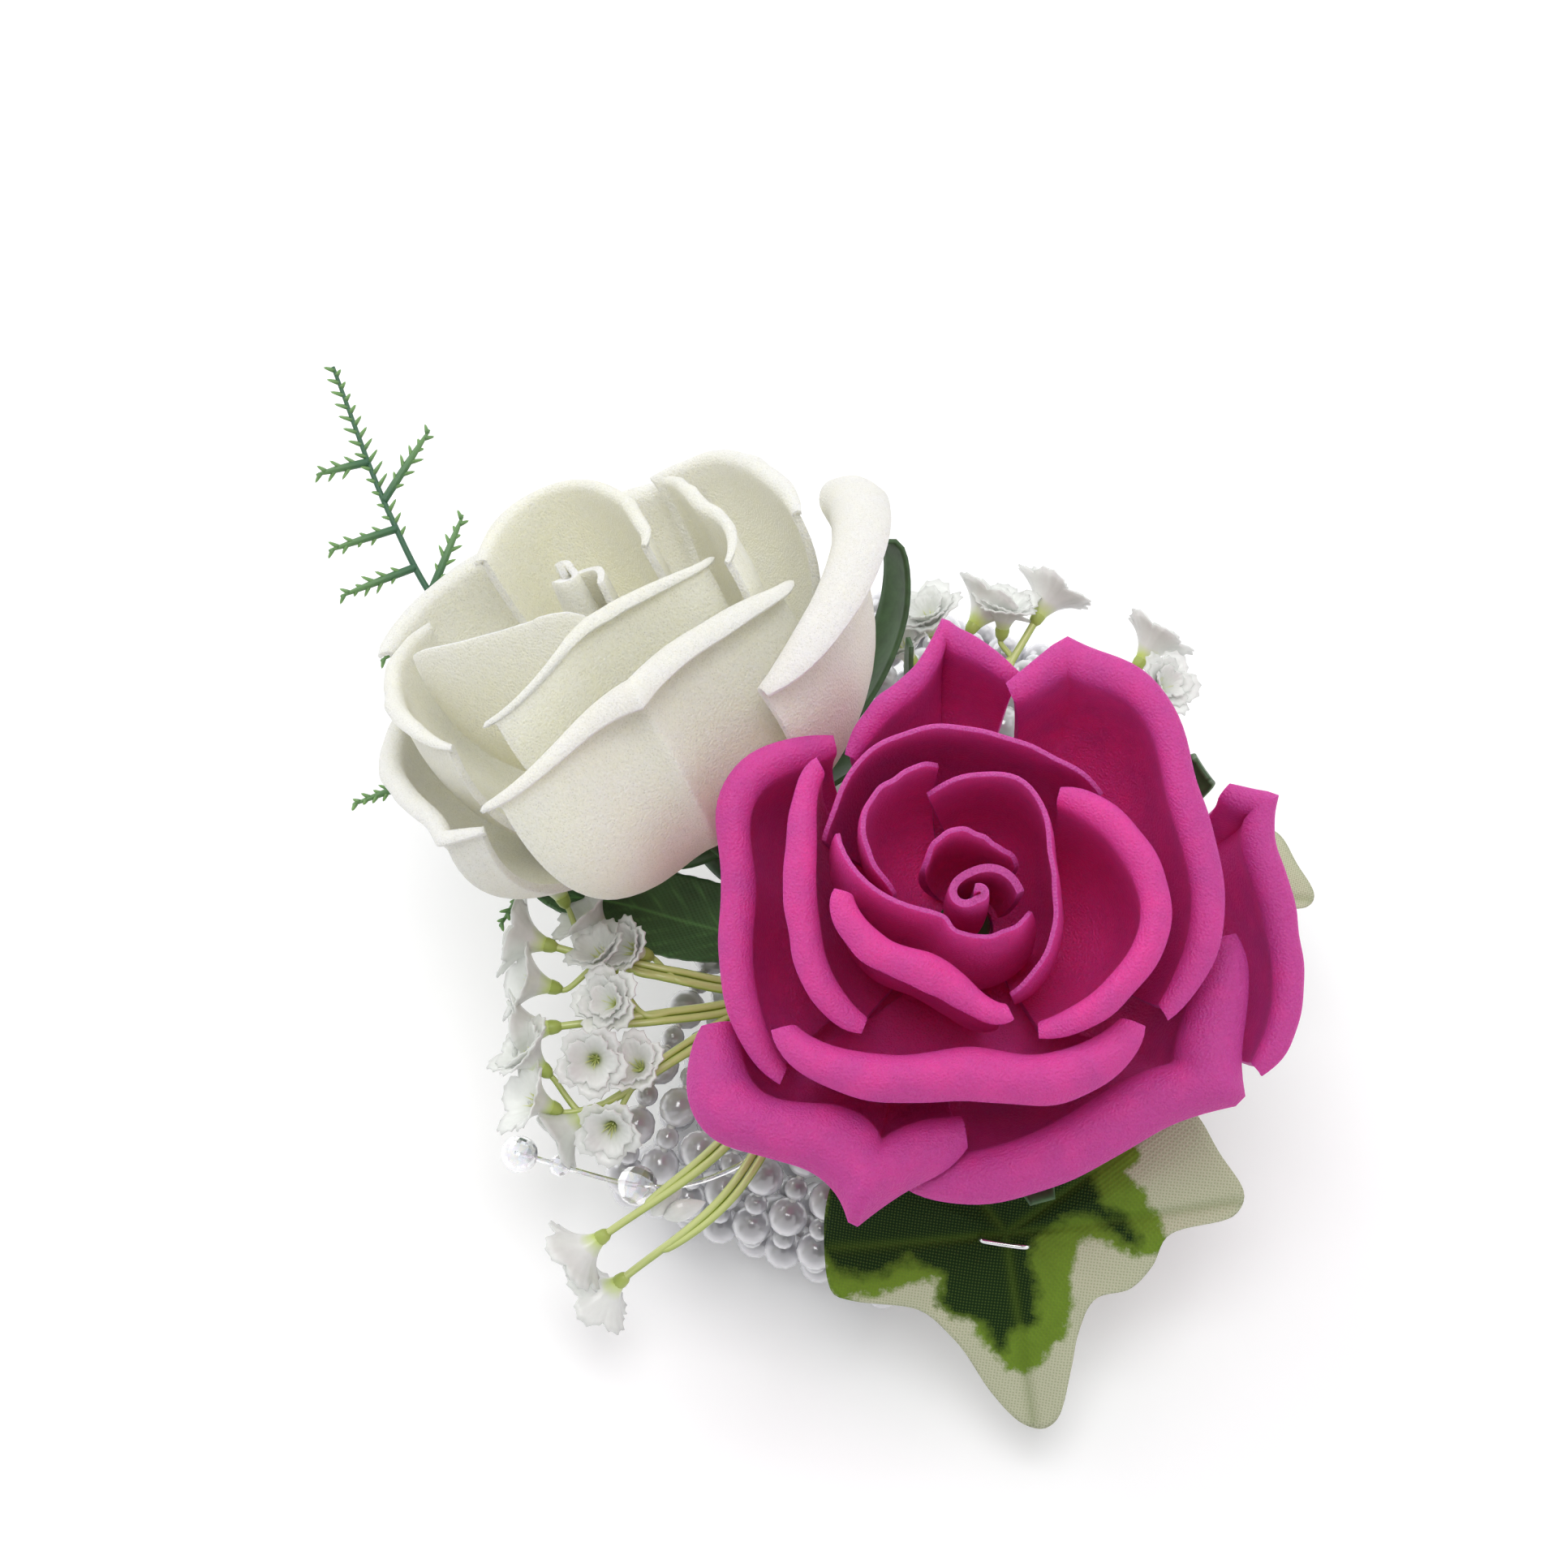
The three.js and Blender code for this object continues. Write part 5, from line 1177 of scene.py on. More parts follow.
IVY_OUTLINE = [
    (-0.81, -0.01), (-0.73, -0.39), (-0.65, -0.41), (-0.33, -0.41), (-0.16, -0.51), (0.03, -0.74),
    (0.19, -0.87), (0.28, -0.88), (0.34, -0.82), (0.37, -0.58), (0.38, -0.4), (0.43, -0.23),
    (0.58, -0.17), (0.66, -0.06), (0.71, 0.09), (0.99, 0.21), (1.02, 0.3), (0.88, 0.48),
    (0.75, 0.64), (0.66, 0.67), (0.54, 0.65), (0.3, 0.5), (0.08, 0.38), (-0.15, 0.52),
    (-0.45, 0.55), (-0.7, 0.35),
]
HEART_PRINT = [
    (-0.86, 0.1), (-0.84, -0.22), (-0.73, -0.33), (-0.59, -0.32), (-0.48, -0.28), (-0.41, -0.21),
    (-0.36, -0.23), (-0.28, -0.25), (-0.27, -0.37), (-0.18, -0.43), (-0.05, -0.44), (-0.01, -0.51),
    (0.03, -0.58), (0.08, -0.55), (0.11, -0.46), (0.21, -0.4), (0.21, -0.22), (0.16, -0.12), (0.17, -0.02),
    (0.25, 0.07), (0.36, 0.11), (0.41, 0.06), (0.51, 0.01), (0.6, -0.01), (0.61, 0.07), (0.53, 0.17),
    (0.43, 0.22), (0.37, 0.32), (0.41, 0.42), (0.34, 0.53), (-0.12, 0.53), (-0.56, 0.31),
]
FRINGE_PRINT = [
    (-0.86, 0.1), (-0.84, -0.22), (-0.76, -0.38), (-0.68, -0.46), (-0.64, -0.46), (-0.62, -0.4),
    (-0.52, -0.37), (-0.4, -0.31), (-0.29, -0.28), (-0.27, -0.37), (-0.2, -0.43), (-0.1, -0.44),
    (-0.04, -0.52), (0.03, -0.59), (0.09, -0.63), (0.18, -0.66), (0.22, -0.61), (0.27, -0.52), (0.34, -0.44),
    (0.35, -0.28), (0.32, -0.13), (0.34, -0.01), (0.42, 0.01), (0.51, -0.02), (0.65, -0.03), (0.77, 0.04),
    (0.66, 0.17), (0.6, 0.27), (0.52, 0.36), (0.55, 0.44), (0.48, 0.51), (0.34, 0.6), (-0.13, 0.59),
    (-0.57, 0.37),
]
IVY_VEIN_TIPS = [(-0.76, -0.2), (0.24, -0.86), (1.0, 0.27), (0.68, 0.65), (-0.5, 0.5)]
IVY_DROOP = 0.12
IVY_PUFF = 0.03
IVY_VEIN_DEPTH = 0.012
IVY_VEIN_WIDTH = 0.022
IVY_RINGS = 26
LEAF_THICKNESS = 0.5
STALK_DIAMETER = 1.2
STAPLE_RADIUS = 0.3
STAPLE_BEND = [(-2.6, -0.6), (-2.45, 0.05), (-2.1, 0.3), (2.1, 0.3), (2.45, 0.05), (2.6, -0.6)]
ROSE_LEAF_WIDTH = 10
ROSE_LEAF_CUP = 3


def plane_axes(across, up):
    """Leaf axes as rows: across, up made square to it, and their normal."""
    x = unit(across)
    up = np.array(up, float)
    y = unit(up - x * up.dot(x))
    return np.array([x, y, np.cross(x, y)])


def segment_distance(points, start, end):
    """Distance of each point from a straight segment."""
    start, end = np.asarray(start, float), np.asarray(end, float)
    along = np.clip(((points - start) @ (end - start)) / ((end - start) @ (end - start)), 0, 1)
    return np.linalg.norm(points - start - along[:, None] * (end - start), axis=1)


def depth_inside(points, outline):
    """How deep each point lies inside a closed outline: its distance to the nearest side, positive inside
    where a line from it crosses the outline an odd number of times."""
    corners = np.asarray(outline, float)
    following = np.roll(corners, -1, axis=0)
    distance = np.min([segment_distance(points, a, b) for a, b in zip(corners, following)], axis=0)
    x, y = points[:, 0:1], points[:, 1:2]
    spans = (corners[:, 1] > y) != (following[:, 1] > y)
    rise = following[:, 1] - corners[:, 1]
    rise = np.where(rise == 0, 1e-9, rise)
    crossing = corners[:, 0] + (y - corners[:, 1]) / rise * (following[:, 0] - corners[:, 0])
    inside = np.count_nonzero(spans & (x < crossing), axis=1) % 2 == 1
    return np.where(inside, distance, -distance)


def ivy_sheet(reach, heart, axes, thickness):
    """A five-lobed leaf: the smooth outline shrunk towards the heart in rings; the leaf droops with the
    square of the distance, rises between its veins, and has two faces joined at the outline."""
    outline = smooth_route(IVY_OUTLINE, OUTLINE_POINTS, closed=True)
    rings = np.linspace(0, 1, IVY_RINGS + 1)[1:]
    flat = (rings[:, None, None] * outline[None]).reshape(-1, 2)
    flat = np.concatenate([[[0, 0]], flat])
    distance = np.min([segment_distance(flat, (0, 0), tip) for tip in IVY_VEIN_TIPS], axis=0)
    veins = np.exp(-((distance / IVY_VEIN_WIDTH) ** 2))
    puff = IVY_PUFF * (1 - np.exp(-((distance / 0.12) ** 2)))
    margin = np.concatenate([[0], np.repeat(rings, len(outline))])
    height = reach * (-IVY_DROOP * (flat**2).sum(1) + puff - IVY_VEIN_DEPTH * veins)
    edge = 0.05 * np.sin(np.arctan2(flat[:, 1], flat[:, 0]) * 9) * margin**4
    height = height + reach * edge * 0.4
    half = thickness / 2 * np.sqrt(np.clip(1 - margin**12, 0.1, 1))
    count = len(outline)
    layers = [np.column_stack([flat * reach, height + half]), np.column_stack([flat * reach, height - half])]
    points = np.concatenate(layers) @ axes + np.asarray(heart, float)
    grid = grid_faces(len(rings), count, 1, closed=True)
    shift = len(flat)
    around, ahead = ring_pairs(count, shift - count)
    rim = np.stack([around, shift + around, shift + ahead, ahead], -1)
    faces = fan(0, *ring_pairs(count, 1)) + fan(shift, *ring_pairs(count, 1 + shift)[::-1])
    faces += grid[:, ::-1].tolist() + (grid + shift).tolist() + rim.tolist()
    heart_depth, fringe_depth = (depth_inside(flat, printed) for printed in (HEART_PRINT, FRINGE_PRINT))
    masks = {"veins": veins, "heart": heart_depth, "fringe": fringe_depth}
    masks = {label: np.tile(values, 2) for label, values in masks.items()}
    return points, faces, np.tile(flat, (2, 1)), masks


IVY_HEART = (27, -33.1, 6)
IVY_REACH = 24
IVY_AXES = plane_axes((0.97, 0.2425, 0), (-0.197, 0.79, 0.581))
SMALL_IVY_HEART = (27, 6.4, 12)
SMALL_IVY_REACH = 18
SMALL_IVY_AXES = plane_axes((1, 0.18, 0.02), (-0.18, 1, 0.1))
STALK_HEIGHT = PLATE_TOP + SEAT_GAP + STALK_DIAMETER / 2
BESIDE_REACH = BUNDLE_DIAMETER / 2 + SEAT_GAP


def beside_bundle(along, sideways, height):
    """A point beside the bundle: along it as a share of its half length, sideways in millimetres."""
    middle, direction = bundle_line()
    aside = np.array([-direction[1], direction[0], 0])
    point = middle + direction * along * BUNDLE_LENGTH / 2 + aside * sideways
    return np.array([*point[:2], height])


def in_leaf(axes, heart, reach, x, y, z):
    """A point of the leaf's plane."""
    return np.array([x * reach, y * reach, z]) @ axes + np.asarray(heart, float)


class CORSAGE_OT_leaves(bpy.types.Operator):
    """Ivy leaves with their staple, and the rose leaf"""

    bl_idname = "corsage.leaves"
    bl_label = "Cut the leaves"

    def execute(self, context):
        finishes = context.scene.corsage_finishes
        printed = ivy_material(finishes)
        green = plain_grain_material("stalk_plastic", (0.16, 0.3, 0.07), (0.1, 0.2, 0.05), 400.0, 0.5, 0.3)
        for label, node_name, reach, heart, axes, route in (
            ("ivy_cloth", "ivy_leaf", IVY_REACH, IVY_HEART, IVY_AXES, [
                in_leaf(IVY_AXES, IVY_HEART, IVY_REACH, 0.04, 0.2, -STALK_DIAMETER / 2),
                in_leaf(IVY_AXES, IVY_HEART, IVY_REACH, 0.02, 0.5, -STALK_DIAMETER),
                (13, -16, STALK_HEIGHT),
                beside_bundle(0.8, -BESIDE_REACH - STALK_DIAMETER / 2, STALK_HEIGHT),
            ]),
            ("small_ivy_cloth", "small_ivy_leaf", SMALL_IVY_REACH, SMALL_IVY_HEART, SMALL_IVY_AXES, [
                in_leaf(SMALL_IVY_AXES, SMALL_IVY_HEART, SMALL_IVY_REACH, 0, 0, -STALK_DIAMETER / 2),
                (16, 2, STALK_HEIGHT),
                beside_bundle(0.6, BESIDE_REACH + STALK_DIAMETER / 2, STALK_HEIGHT),
            ]),
        ):
            points, faces = tube(smooth_route(route, STEM_POINTS), STALK_DIAMETER / 2, 10)
            stalk = settle(make_object(f"{label}_stalk", points, faces, [green]), "ivy_fabric", node_name)
            points, faces, uv, masks = ivy_sheet(reach, heart, axes, LEAF_THICKNESS)
            cloth = make_object(label, points, faces, [printed], uv=uv, masks=masks)
            settle(cloth, "ivy_fabric", node_name)

        steel, tree, shader = surface_material("staple_wire", Metallic=1.0, Roughness=0.22)
        brushed = blend_colours(tree, object_noise(tree, 1500.0), (0.62, 0.63, 0.65), (0.8, 0.8, 0.81))
        paint(tree, shader, brushed)
        bar = smooth_route([(x, 0, z) for x, z in STAPLE_BEND], STEM_POINTS)
        local = bar + (0, -0.04 * IVY_REACH, LEAF_THICKNESS / 2 + STAPLE_RADIUS)
        wire = tube(local @ IVY_AXES + np.array(IVY_HEART), STAPLE_RADIUS, 12, up=IVY_AXES[1])
        made = make_object("staple", *wire, [steel])
        settle(made, "wire", "leaf_staple")

        cloth = leaf_material(tuple(finishes.leaf))
        route = smooth_route([
            beside_bundle(-0.5, -BESIDE_REACH - 2.7, PLATE_TOP + SEAT_GAP + STALK_DIAMETER),
            (-17, -15, 11.5), (-26, -16.5, 12.5), (-34, -18.2, 11),
        ], LEAF_ROWS)
        v = np.linspace(0, 1, LEAF_ROWS)
        width = ROSE_LEAF_WIDTH * (np.sin(math.pi * v**0.8) ** 0.8 * 0.92 + 0.08)
        width = width * (1 + 0.05 * np.abs(np.mod(v * 16, 1) - 0.5))
        side = np.linspace(-0.5, 0.5, LEAF_COLUMNS)
        across = unit((0.25, 0.95, 0.2))
        points = route[:, None] + (width[:, None] * side)[..., None] * across
        points = points + np.array([0, 0, 1]) * (np.abs(side) ** 1.5 * ROSE_LEAF_CUP)[:, None]
        layers, faces, _ = shell(points, LEAF_THICKNESS)
        herring = np.abs(np.mod(v[:, None] * 9 - np.abs(side) * 4, 1) - 0.5)
        veins = np.maximum(np.exp(-((side / 0.02) ** 2)), np.exp(-((herring / 0.05) ** 2)) * 0.6)
        uv = np.stack(np.broadcast_arrays(side, v[:, None] * 2.4), -1).reshape(-1, 2)
        masks = {"veins": np.tile(veins.ravel(), 2)}
        made = make_object("rose_leaf_cloth", layers, faces, [cloth], uv=np.tile(uv, (2, 1)), masks=masks)
        settle(made, "leaf_fabric", "rose_leaf")
        return {"FINISHED"}


# Fern

FERN_STEM = 1.4
FERN_HEIGHT = PLATE_TOP + 2 * SEAT_GAP + FERN_STEM / 2
STEM_SHADE = 0.1
TWIG_SHADE = 0.45
NEEDLE_THICKNESS = 0.62
NEEDLE_SIDES = 5


def cone_template():
    """A unit needle along Z: a ring that narrows in two steps to a point."""
    sides = NEEDLE_SIDES
    angle = np.linspace(0, 2 * math.pi, sides, endpoint=False)
    ring = np.stack([np.cos(angle), np.sin(angle), np.zeros(sides)], -1)
    upper_rings = [ring * 0.85 + (0, 0, 0.35), ring * 0.5 + (0, 0, 0.8)]
    points = np.concatenate([ring, *upper_rings, [[0, 0, 1]], [[0, 0, 0]]])
    faces = grid_faces(3, sides, closed=True).tolist()
    faces += fan(3 * sides, *ring_pairs(sides, 2 * sides))
    faces += fan(3 * sides + 1, *ring_pairs(sides)[::-1])
    return points, faces


def needle_frames(aims, flat, thickness, lengths):
    """Frames that turn the unit needle to each aim, with its thickness and length."""
    first = unit(np.cross(aims, flat))
    second = np.cross(aims, first)
    return np.stack([first * thickness, second * thickness, aims * np.asarray(lengths)[:, None]], -1)


def needle_parts(path, share_from, spacing, length, flat, lean=1.0):
    """Needles in turn left and right along a path, leaning towards its tip; their length swells and then
    dwindles. Each part has its points, faces and shade: green at the foot, paler at the tip."""
    steps = np.linalg.norm(np.diff(path, axis=0), axis=1)
    reach = np.concatenate([[0], np.cumsum(steps)])
    count = max(2, int(reach[-1] * (1 - share_from) / spacing))
    slopes = np.gradient(path, axis=0)
    template = cone_template()
    parts = []
    for sign, offset in ((1, 0.3), (-1, 0.7)):
        share = share_from + (1 - share_from) * (np.arange(count) + offset) / count
        where = share * reach[-1]
        places = np.stack([np.interp(where, reach, path[:, k]) for k in range(3)], -1)
        ahead = unit(np.stack([np.interp(where, reach, slopes[:, k]) for k in range(3)], -1))
        side = unit(np.cross(ahead, flat))
        rise = 0.12 + 0.25 * np.sin(share * 40 + sign)[:, None]
        aims = unit(side * sign + ahead * lean + np.asarray(flat) * rise)
        lengths = length * (0.85 + 0.25 * np.sin(share * 23 + sign)) * np.sqrt(np.clip(1.2 - share, 0.25, 1))
        frames = needle_frames(aims, flat, NEEDLE_THICKNESS / 2, lengths)
        points, faces = scatter(template, places, frames, np.ones(count))
        parts.append((points, faces, np.tile(TWIG_SHADE + (1 - TWIG_SHADE) * template[0][:, 2], count)))
    return parts


def fern_parts(route, sprigs, flat, spacing, own_needles, needle):
    """Stem, side sprigs and needles of one frond."""
    stem = smooth_route(route, FROND_POINTS)
    taper = np.linspace(1, 0.32, FROND_POINTS)
    points, faces = tube(stem, FERN_STEM / 2 * taper, 8)
    parts = [(points, faces, np.full(len(points), STEM_SHADE))]
    if own_needles < 1:
        parts += needle_parts(stem, own_needles, spacing, needle, flat, lean=0.7)
    slopes = unit(np.gradient(stem, axis=0))
    for share, sign, length, lean in sprigs:
        place = int(share * (FROND_POINTS - 1))
        at, ahead = stem[place], slopes[place]
        sideways = unit(np.cross(ahead, flat)) * sign
        tip = at + sideways * length + ahead * lean * length
        bow = np.asarray(flat) * 0.5
        twig = smooth_route([at, (at + tip) / 2 + bow, tip], SPRIG_POINTS)
        points, faces = tube(twig, 0.48 - 0.36 * np.linspace(0, 1, SPRIG_POINTS) ** 3, 7)
        shade = np.repeat(np.linspace(STEM_SHADE, TWIG_SHADE + 0.2, SPRIG_POINTS), 7)
        parts.append((points, faces, np.append(shade, [0.1, 0.9])))
        parts += needle_parts(twig, 0.14, spacing, needle * 0.72, flat)
    return parts


def shaded_object(name, parts, materials):
    """One object from parts with a shade share and, where a part has a fourth entry, its material."""
    points, faces = join_parts([part[:2] for part in parts])
    shade = np.concatenate([np.broadcast_to(part[2], (len(part[0]),)) for part in parts])
    finish = np.concatenate([np.full(len(part[1]), part[3] if len(part) > 3 else 0) for part in parts])
    return make_object(name, points, faces, materials, finish, masks={"shade": shade})


class CORSAGE_OT_ferns(bpy.types.Operator):
    """The long frond and the low frond"""

    bl_idname = "corsage.ferns"
    bl_label = "Mould the ferns"

    def execute(self, context):
        sizes, finishes = context.scene.corsage_sizes, context.scene.corsage_finishes
        spacing = sizes.needle_spacing / MM
        stem, tip = tuple(finishes.fern), tuple(finishes.fern_tip)
        middle = tuple((a + b) / 2 for a, b in zip(stem, tip))
        green = shaded_material("fern_plastic", [(0.1, stem), (0.5, middle), (0.95, tip)], 260.0, 0.4, 0.2)
        long_route = [
            beside_bundle(-0.9, BESIDE_REACH + FERN_STEM / 2, FERN_HEIGHT), (-20, -3, 9.4), (-30, 0.5, 7.2),
            (-40, 3, 6.5), (-58.6, 9.3, 13), (-68, 16, 18), (-80.4, 28.1, 24),
        ]
        long_sprigs = [
            (0.86, -1, 6, 0.1), (0.8, 1, 8, 0.7), (0.76, -1, 8, 0.1), (0.7, -1, 9, 0.1), (0.66, 1, 8, 0.7),
            (0.62, -1, 9, 0.1),
        ]
        parts = fern_parts(long_route, long_sprigs, unit((0.3, -0.35, 0.9)), spacing, 0.74, 3)
        settle(shaded_object("long_frond", parts, [green]), "fern", "fern_frond", body="fern")
        low_route = [
            beside_bundle(-0.9, -BESIDE_REACH - FERN_STEM / 2, FERN_HEIGHT), (-24, -9, 8.5), (-38, -10, 8),
            (-52, -9, 11),
        ]
        low_sprigs = [(0.97, -1, 8, 0.8), (0.85, 1, 8, 0.6), (0.75, 1, 9, 0.4), (0.62, -1, 12, 0.2)]
        parts = fern_parts(low_route, low_sprigs, (0, 0, 1), spacing * 0.8, 0.6, 2.8)
        settle(shaded_object("low_frond", parts, [green]), "fern", "low_fern")
        return {"FINISHED"}


# Gypsophila and beads

GYP_STEM = 1.0
GYP_HEIGHT = PLATE_TOP + SEAT_GAP + GYP_STEM / 2
FLOWER_DEPTH = 4.4
FLOWER_LOBES = 5
FLOWER_TEETH = 20
FLOWER_WALL = 0.22
FLOWER_ROWS = 12
FLOWER_COLUMNS = 60
LAYER_STEP = 0.3
FILAMENT_COUNT = 8
FILAMENT_TURN = 2.4
FILAMENT_RADIUS = 0.13
TWIN_SPAN = slice(10, 60)
TWIN_TURN = 20
PETAL_FINISH, STEM_FINISH, CALYX_FINISH = range(3)

# Each spray: its place beside the bundle, its body, its branches with their flower's radius and layers, and
# more flowers as (branch, share along it, place, aim, radius, layers)
GYP_SPRAYS = {
    "gyp_left": (-0.1, -1, ROOT, [
        ([(-8, -19, 10.5), (-16, -23, 14), (-30, -25, 15)], 4.1, 2),
        ([(-8, -20, 10.5), (-16, -27, 13), (-26, -33, 13)], 4, 3),
        ([(-7, -21, 10.5), (-13, -32, 12), (-19, -40, 10)], 3.9, 2),
    ], [
        (0, 0.72, (-30.4, -19.4, 15), (-0.6, 0.35, 0.6), 4.2, 2),
        (0, 0.62, (-24.6, -20.6, 13.6), (-0.7, 0.1, 0.45), 3.8, 1),
        (0, 0.7, (-27.5, -28.5, 13), (-0.85, -0.25, 0.3), 4.1, 1),
        (1, 0.66, (-19.5, -28.2, 14), (-0.3, -0.35, 0.9), 3.6, 3),
        (1, 0.74, (-19.8, -34.2, 13), (0.1, -0.5, 0.85), 3.5, 2),
        (2, 0.8, (-22, -40.6, 11), (-0.75, -0.2, 0.5), 4, 1),
        (2, 0.75, (-15.6, -39.2, 10.6), (0.1, -0.55, 0.6), 3.3, 2),
        (1, 0.6, (-22.5, -24.4, 13.8), (-0.5, 0.1, 0.85), 3.2, 2),
        (2, 0.66, (-14.6, -33.4, 12), (-0.2, -0.2, 0.9), 3.1, 2),
        (0, 0.5, (-19.6, -21.6, 14.2), (-0.5, -0.3, 0.75), 2.9, 2),
        (2, 0.9, (-24.4, -37.6, 12.6), (-0.7, 0.1, 0.6), 3.6, 2),
    ]),
    "gyp_low": (0.3, -1, "low_gypsophila", [
        ([(-1, -24, 11.4), (-3, -38, 13), (-13, -50, 4)], 4, 2),
        ([(0, -24, 11.4), (-1, -42, 12), (-10, -52, -1)], 3.8, 1),
    ], []),
    "gyp_rear": (0.1, 1, ROOT, [
        ([(-3, 10, 9.6), (-4.5, 24, 9.6), (-2.7, 32, 12)], 4.4, 3),
        ([(-1, 10, 9.6), (2, 26, 9.6), (3.6, 36, 12)], 4.2, 3),
        ([(2, 10, 9.6), (14, 26, 9.6), (16.4, 35, 12)], 3.8, 3),
    ], [
        (0, 0.8, (-6.2, 28.8, 12), (-0.45, 0.2, 0.85), 4, 3),
        (0, 0.72, (-7.6, 25.2, 10.6), (-0.5, 0.1, 0.85), 3.2, 2),
        (2, 0.85, (18.6, 31.4, 11.4), (0.5, 0.1, 0.85), 3.5, 3),
        (1, 0.8, (0.4, 32.6, 11), (-0.1, 0.5, 0.8), 3.5, 2),
    ]),
}


def flower_points(at, ahead, depth, radius, spin):
    """A flower: a tube that flares to a rim of rounded lobes; fine teeth run along the rim, and it dips
    between the lobes."""
    v = np.linspace(0, 1, FLOWER_ROWS)[:, None]
    angle = np.linspace(0, 2 * math.pi, FLOWER_COLUMNS, endpoint=False)[None, :]
    lobe = np.abs(np.cos(FLOWER_LOBES / 2 * (angle + spin))) ** 0.6
    tooth = np.abs(np.mod(angle * FLOWER_TEETH / (2 * math.pi), 1) - 0.5) * 2
    flare = 0.13 + 0.3 * v + 0.57 * v**2.6
    out = radius * flare * (1 + v**3 * (0.34 * (lobe - 0.65) + 0.14 * (tooth - 0.5)))
    along = depth * (v - 0.14 * v**5 * (1 - lobe) + 0.05 * v**4 * np.sin(3 * angle + 2 * spin))
    first = unit(np.cross(ahead, (0.3, 0.2, 0.93)))
    second = np.cross(ahead, first)
    ring = np.cos(angle)[..., None] * first + np.sin(angle)[..., None] * second
    return at + ring * out[..., None] + along[..., None] * ahead


def flower_parts(at, ahead, radius, layers, spin):
    """Nested trumpets, each smaller and turned, round pale filaments, on a green calyx."""
    parts = []
    shade = np.tile(np.repeat(np.linspace(0, 1, FLOWER_ROWS), FLOWER_COLUMNS), 2)
    for layer in range(layers):
        foot, depth = at + ahead * LAYER_STEP * layer, FLOWER_DEPTH * (1 - 0.06 * layer)
        grid = flower_points(foot, ahead, depth, radius * (1 - 0.25 * layer), spin + layer)
        parts.append((*ring_shell(grid, FLOWER_WALL), shade, PETAL_FINISH))
    first = unit(np.cross(ahead, (0.3, 0.2, 0.93)))
    second = np.cross(ahead, first)
    turn = np.arange(FILAMENT_COUNT) * FILAMENT_TURN
    aims = unit(ahead + 0.3 * (np.cos(turn)[:, None] * first + np.sin(turn)[:, None] * second))
    lengths = FLOWER_DEPTH * (0.65 + 0.12 * np.sin(turn * 3))
    frames = needle_frames(aims, first + second * 0.3, FILAMENT_RADIUS, lengths)
    centres = np.repeat((at + ahead * 0.5)[None], len(turn), axis=0)
    points, faces = scatter(cone_template(), centres, frames, np.ones(len(turn)))
    parts.append((points, faces, 0.7, CALYX_FINISH))
    cup = np.array([at - ahead * 0.9, at - ahead * 0.4, at + ahead * 0.3, at + ahead * 0.9, at + ahead * 1.3])
    parts.append((*tube(cup, [0.4, 0.72, 0.84, 0.76, 0.6], 12), 0.25, CALYX_FINISH))
    return parts


def stem_part(path, start_radius, end_radius):
    """A round stem with painted shading round it: paler along its top and underside, darker along its two
    flanks.
    """
    sides, count = 10, len(path)
    points, faces = tube(path, np.linspace(start_radius, end_radius, count), sides)
    angle = np.linspace(0, 2 * math.pi, sides, endpoint=False)
    shade = np.concatenate([np.tile(np.abs(np.sin(angle)), count), [0.5, 0.5]])
    return points, faces, shade, STEM_FINISH


class CORSAGE_OT_gypsophila(bpy.types.Operator):
    """Three sprays of translucent flowers on thin stems"""

    bl_idname = "corsage.gypsophila"
    bl_label = "Mould the gypsophila"

    def execute(self, context):
        petal = flower_material((0.6, 0.74, 0.16), (0.95, 0.97, 0.93))
        # Painted shading of the stems: dark green on their flanks, pale green along their tops, by the shade
        # share set round each stem.
        greens = [(0.05, (0.27, 0.36, 0.035)), (0.45, (0.43, 0.53, 0.1)), (0.9, (0.62, 0.69, 0.26))]
        stem_finish = shaded_material("gypsophila_stem", greens, 420.0, 0.3, 0.15, Coat_Weight=0.3)
        greens = [(0.1, (0.34, 0.45, 0.07)), (0.5, (0.55, 0.62, 0.2)), (0.8, (0.74, 0.76, 0.36))]
        calyx = shaded_material("gypsophila_calyx", greens, 500.0, 0.4, 0.2)
        for name, (along, side, body, branches, extras) in GYP_SPRAYS.items():
            root = beside_bundle(along, side * (BESIDE_REACH + GYP_STEM / 2), GYP_HEIGHT)
            parts, paths = [], []
            for number, (branch, radius, layers) in enumerate(branches):
                path = smooth_route([root, *branch], BRANCH_POINTS)
                paths.append(path)
                parts.append(stem_part(path, GYP_STEM / 2 * 1.15, GYP_STEM / 2 * 0.85))
                beside = unit(np.cross(path[-1] - path[TWIN_TURN], (0, 0, 1))) * GYP_STEM * (-1) ** number
                twin = path[TWIN_SPAN]
                joined = np.sin(math.pi * np.linspace(0, 1, len(twin))) ** 0.4
                parts.append(stem_part(twin + joined[:, None] * beside, GYP_STEM / 2, GYP_STEM / 2 * 0.8))
                parts += flower_parts(path[-2], unit(path[-1] - path[-4]), radius, layers, number * 0.7)
            for number, (branch, share, place, aim, radius, layers) in enumerate(extras):
                fork = int(share * (BRANCH_POINTS - 1))
                start, onward = paths[branch][fork], unit(np.gradient(paths[branch], axis=0)[fork])
                place, aim = np.array(place, float), unit(aim)
                bend = start + onward * np.linalg.norm(place - start) * 0.4
                twig = smooth_route([start, bend, place - aim * 1.2, place], 30)
                parts.append(stem_part(twig, GYP_STEM / 2 * 0.85, GYP_STEM / 2 * 0.6))
                parts += flower_parts(place, aim, radius, layers, number * 1.3)
            spray = shaded_object(f"{name}_spray", parts, [petal, stem_finish, calyx])
            settle(spray, "gypsophila", name, body=body)
        return {"FINISHED"}


LINE_DIAMETER = 0.6
FACET_RINGS = 7
FACET_SIDES = 9
DROP_FACING = (0.2, -0.5, 0.85)
DROP_THICKNESS = 1.3


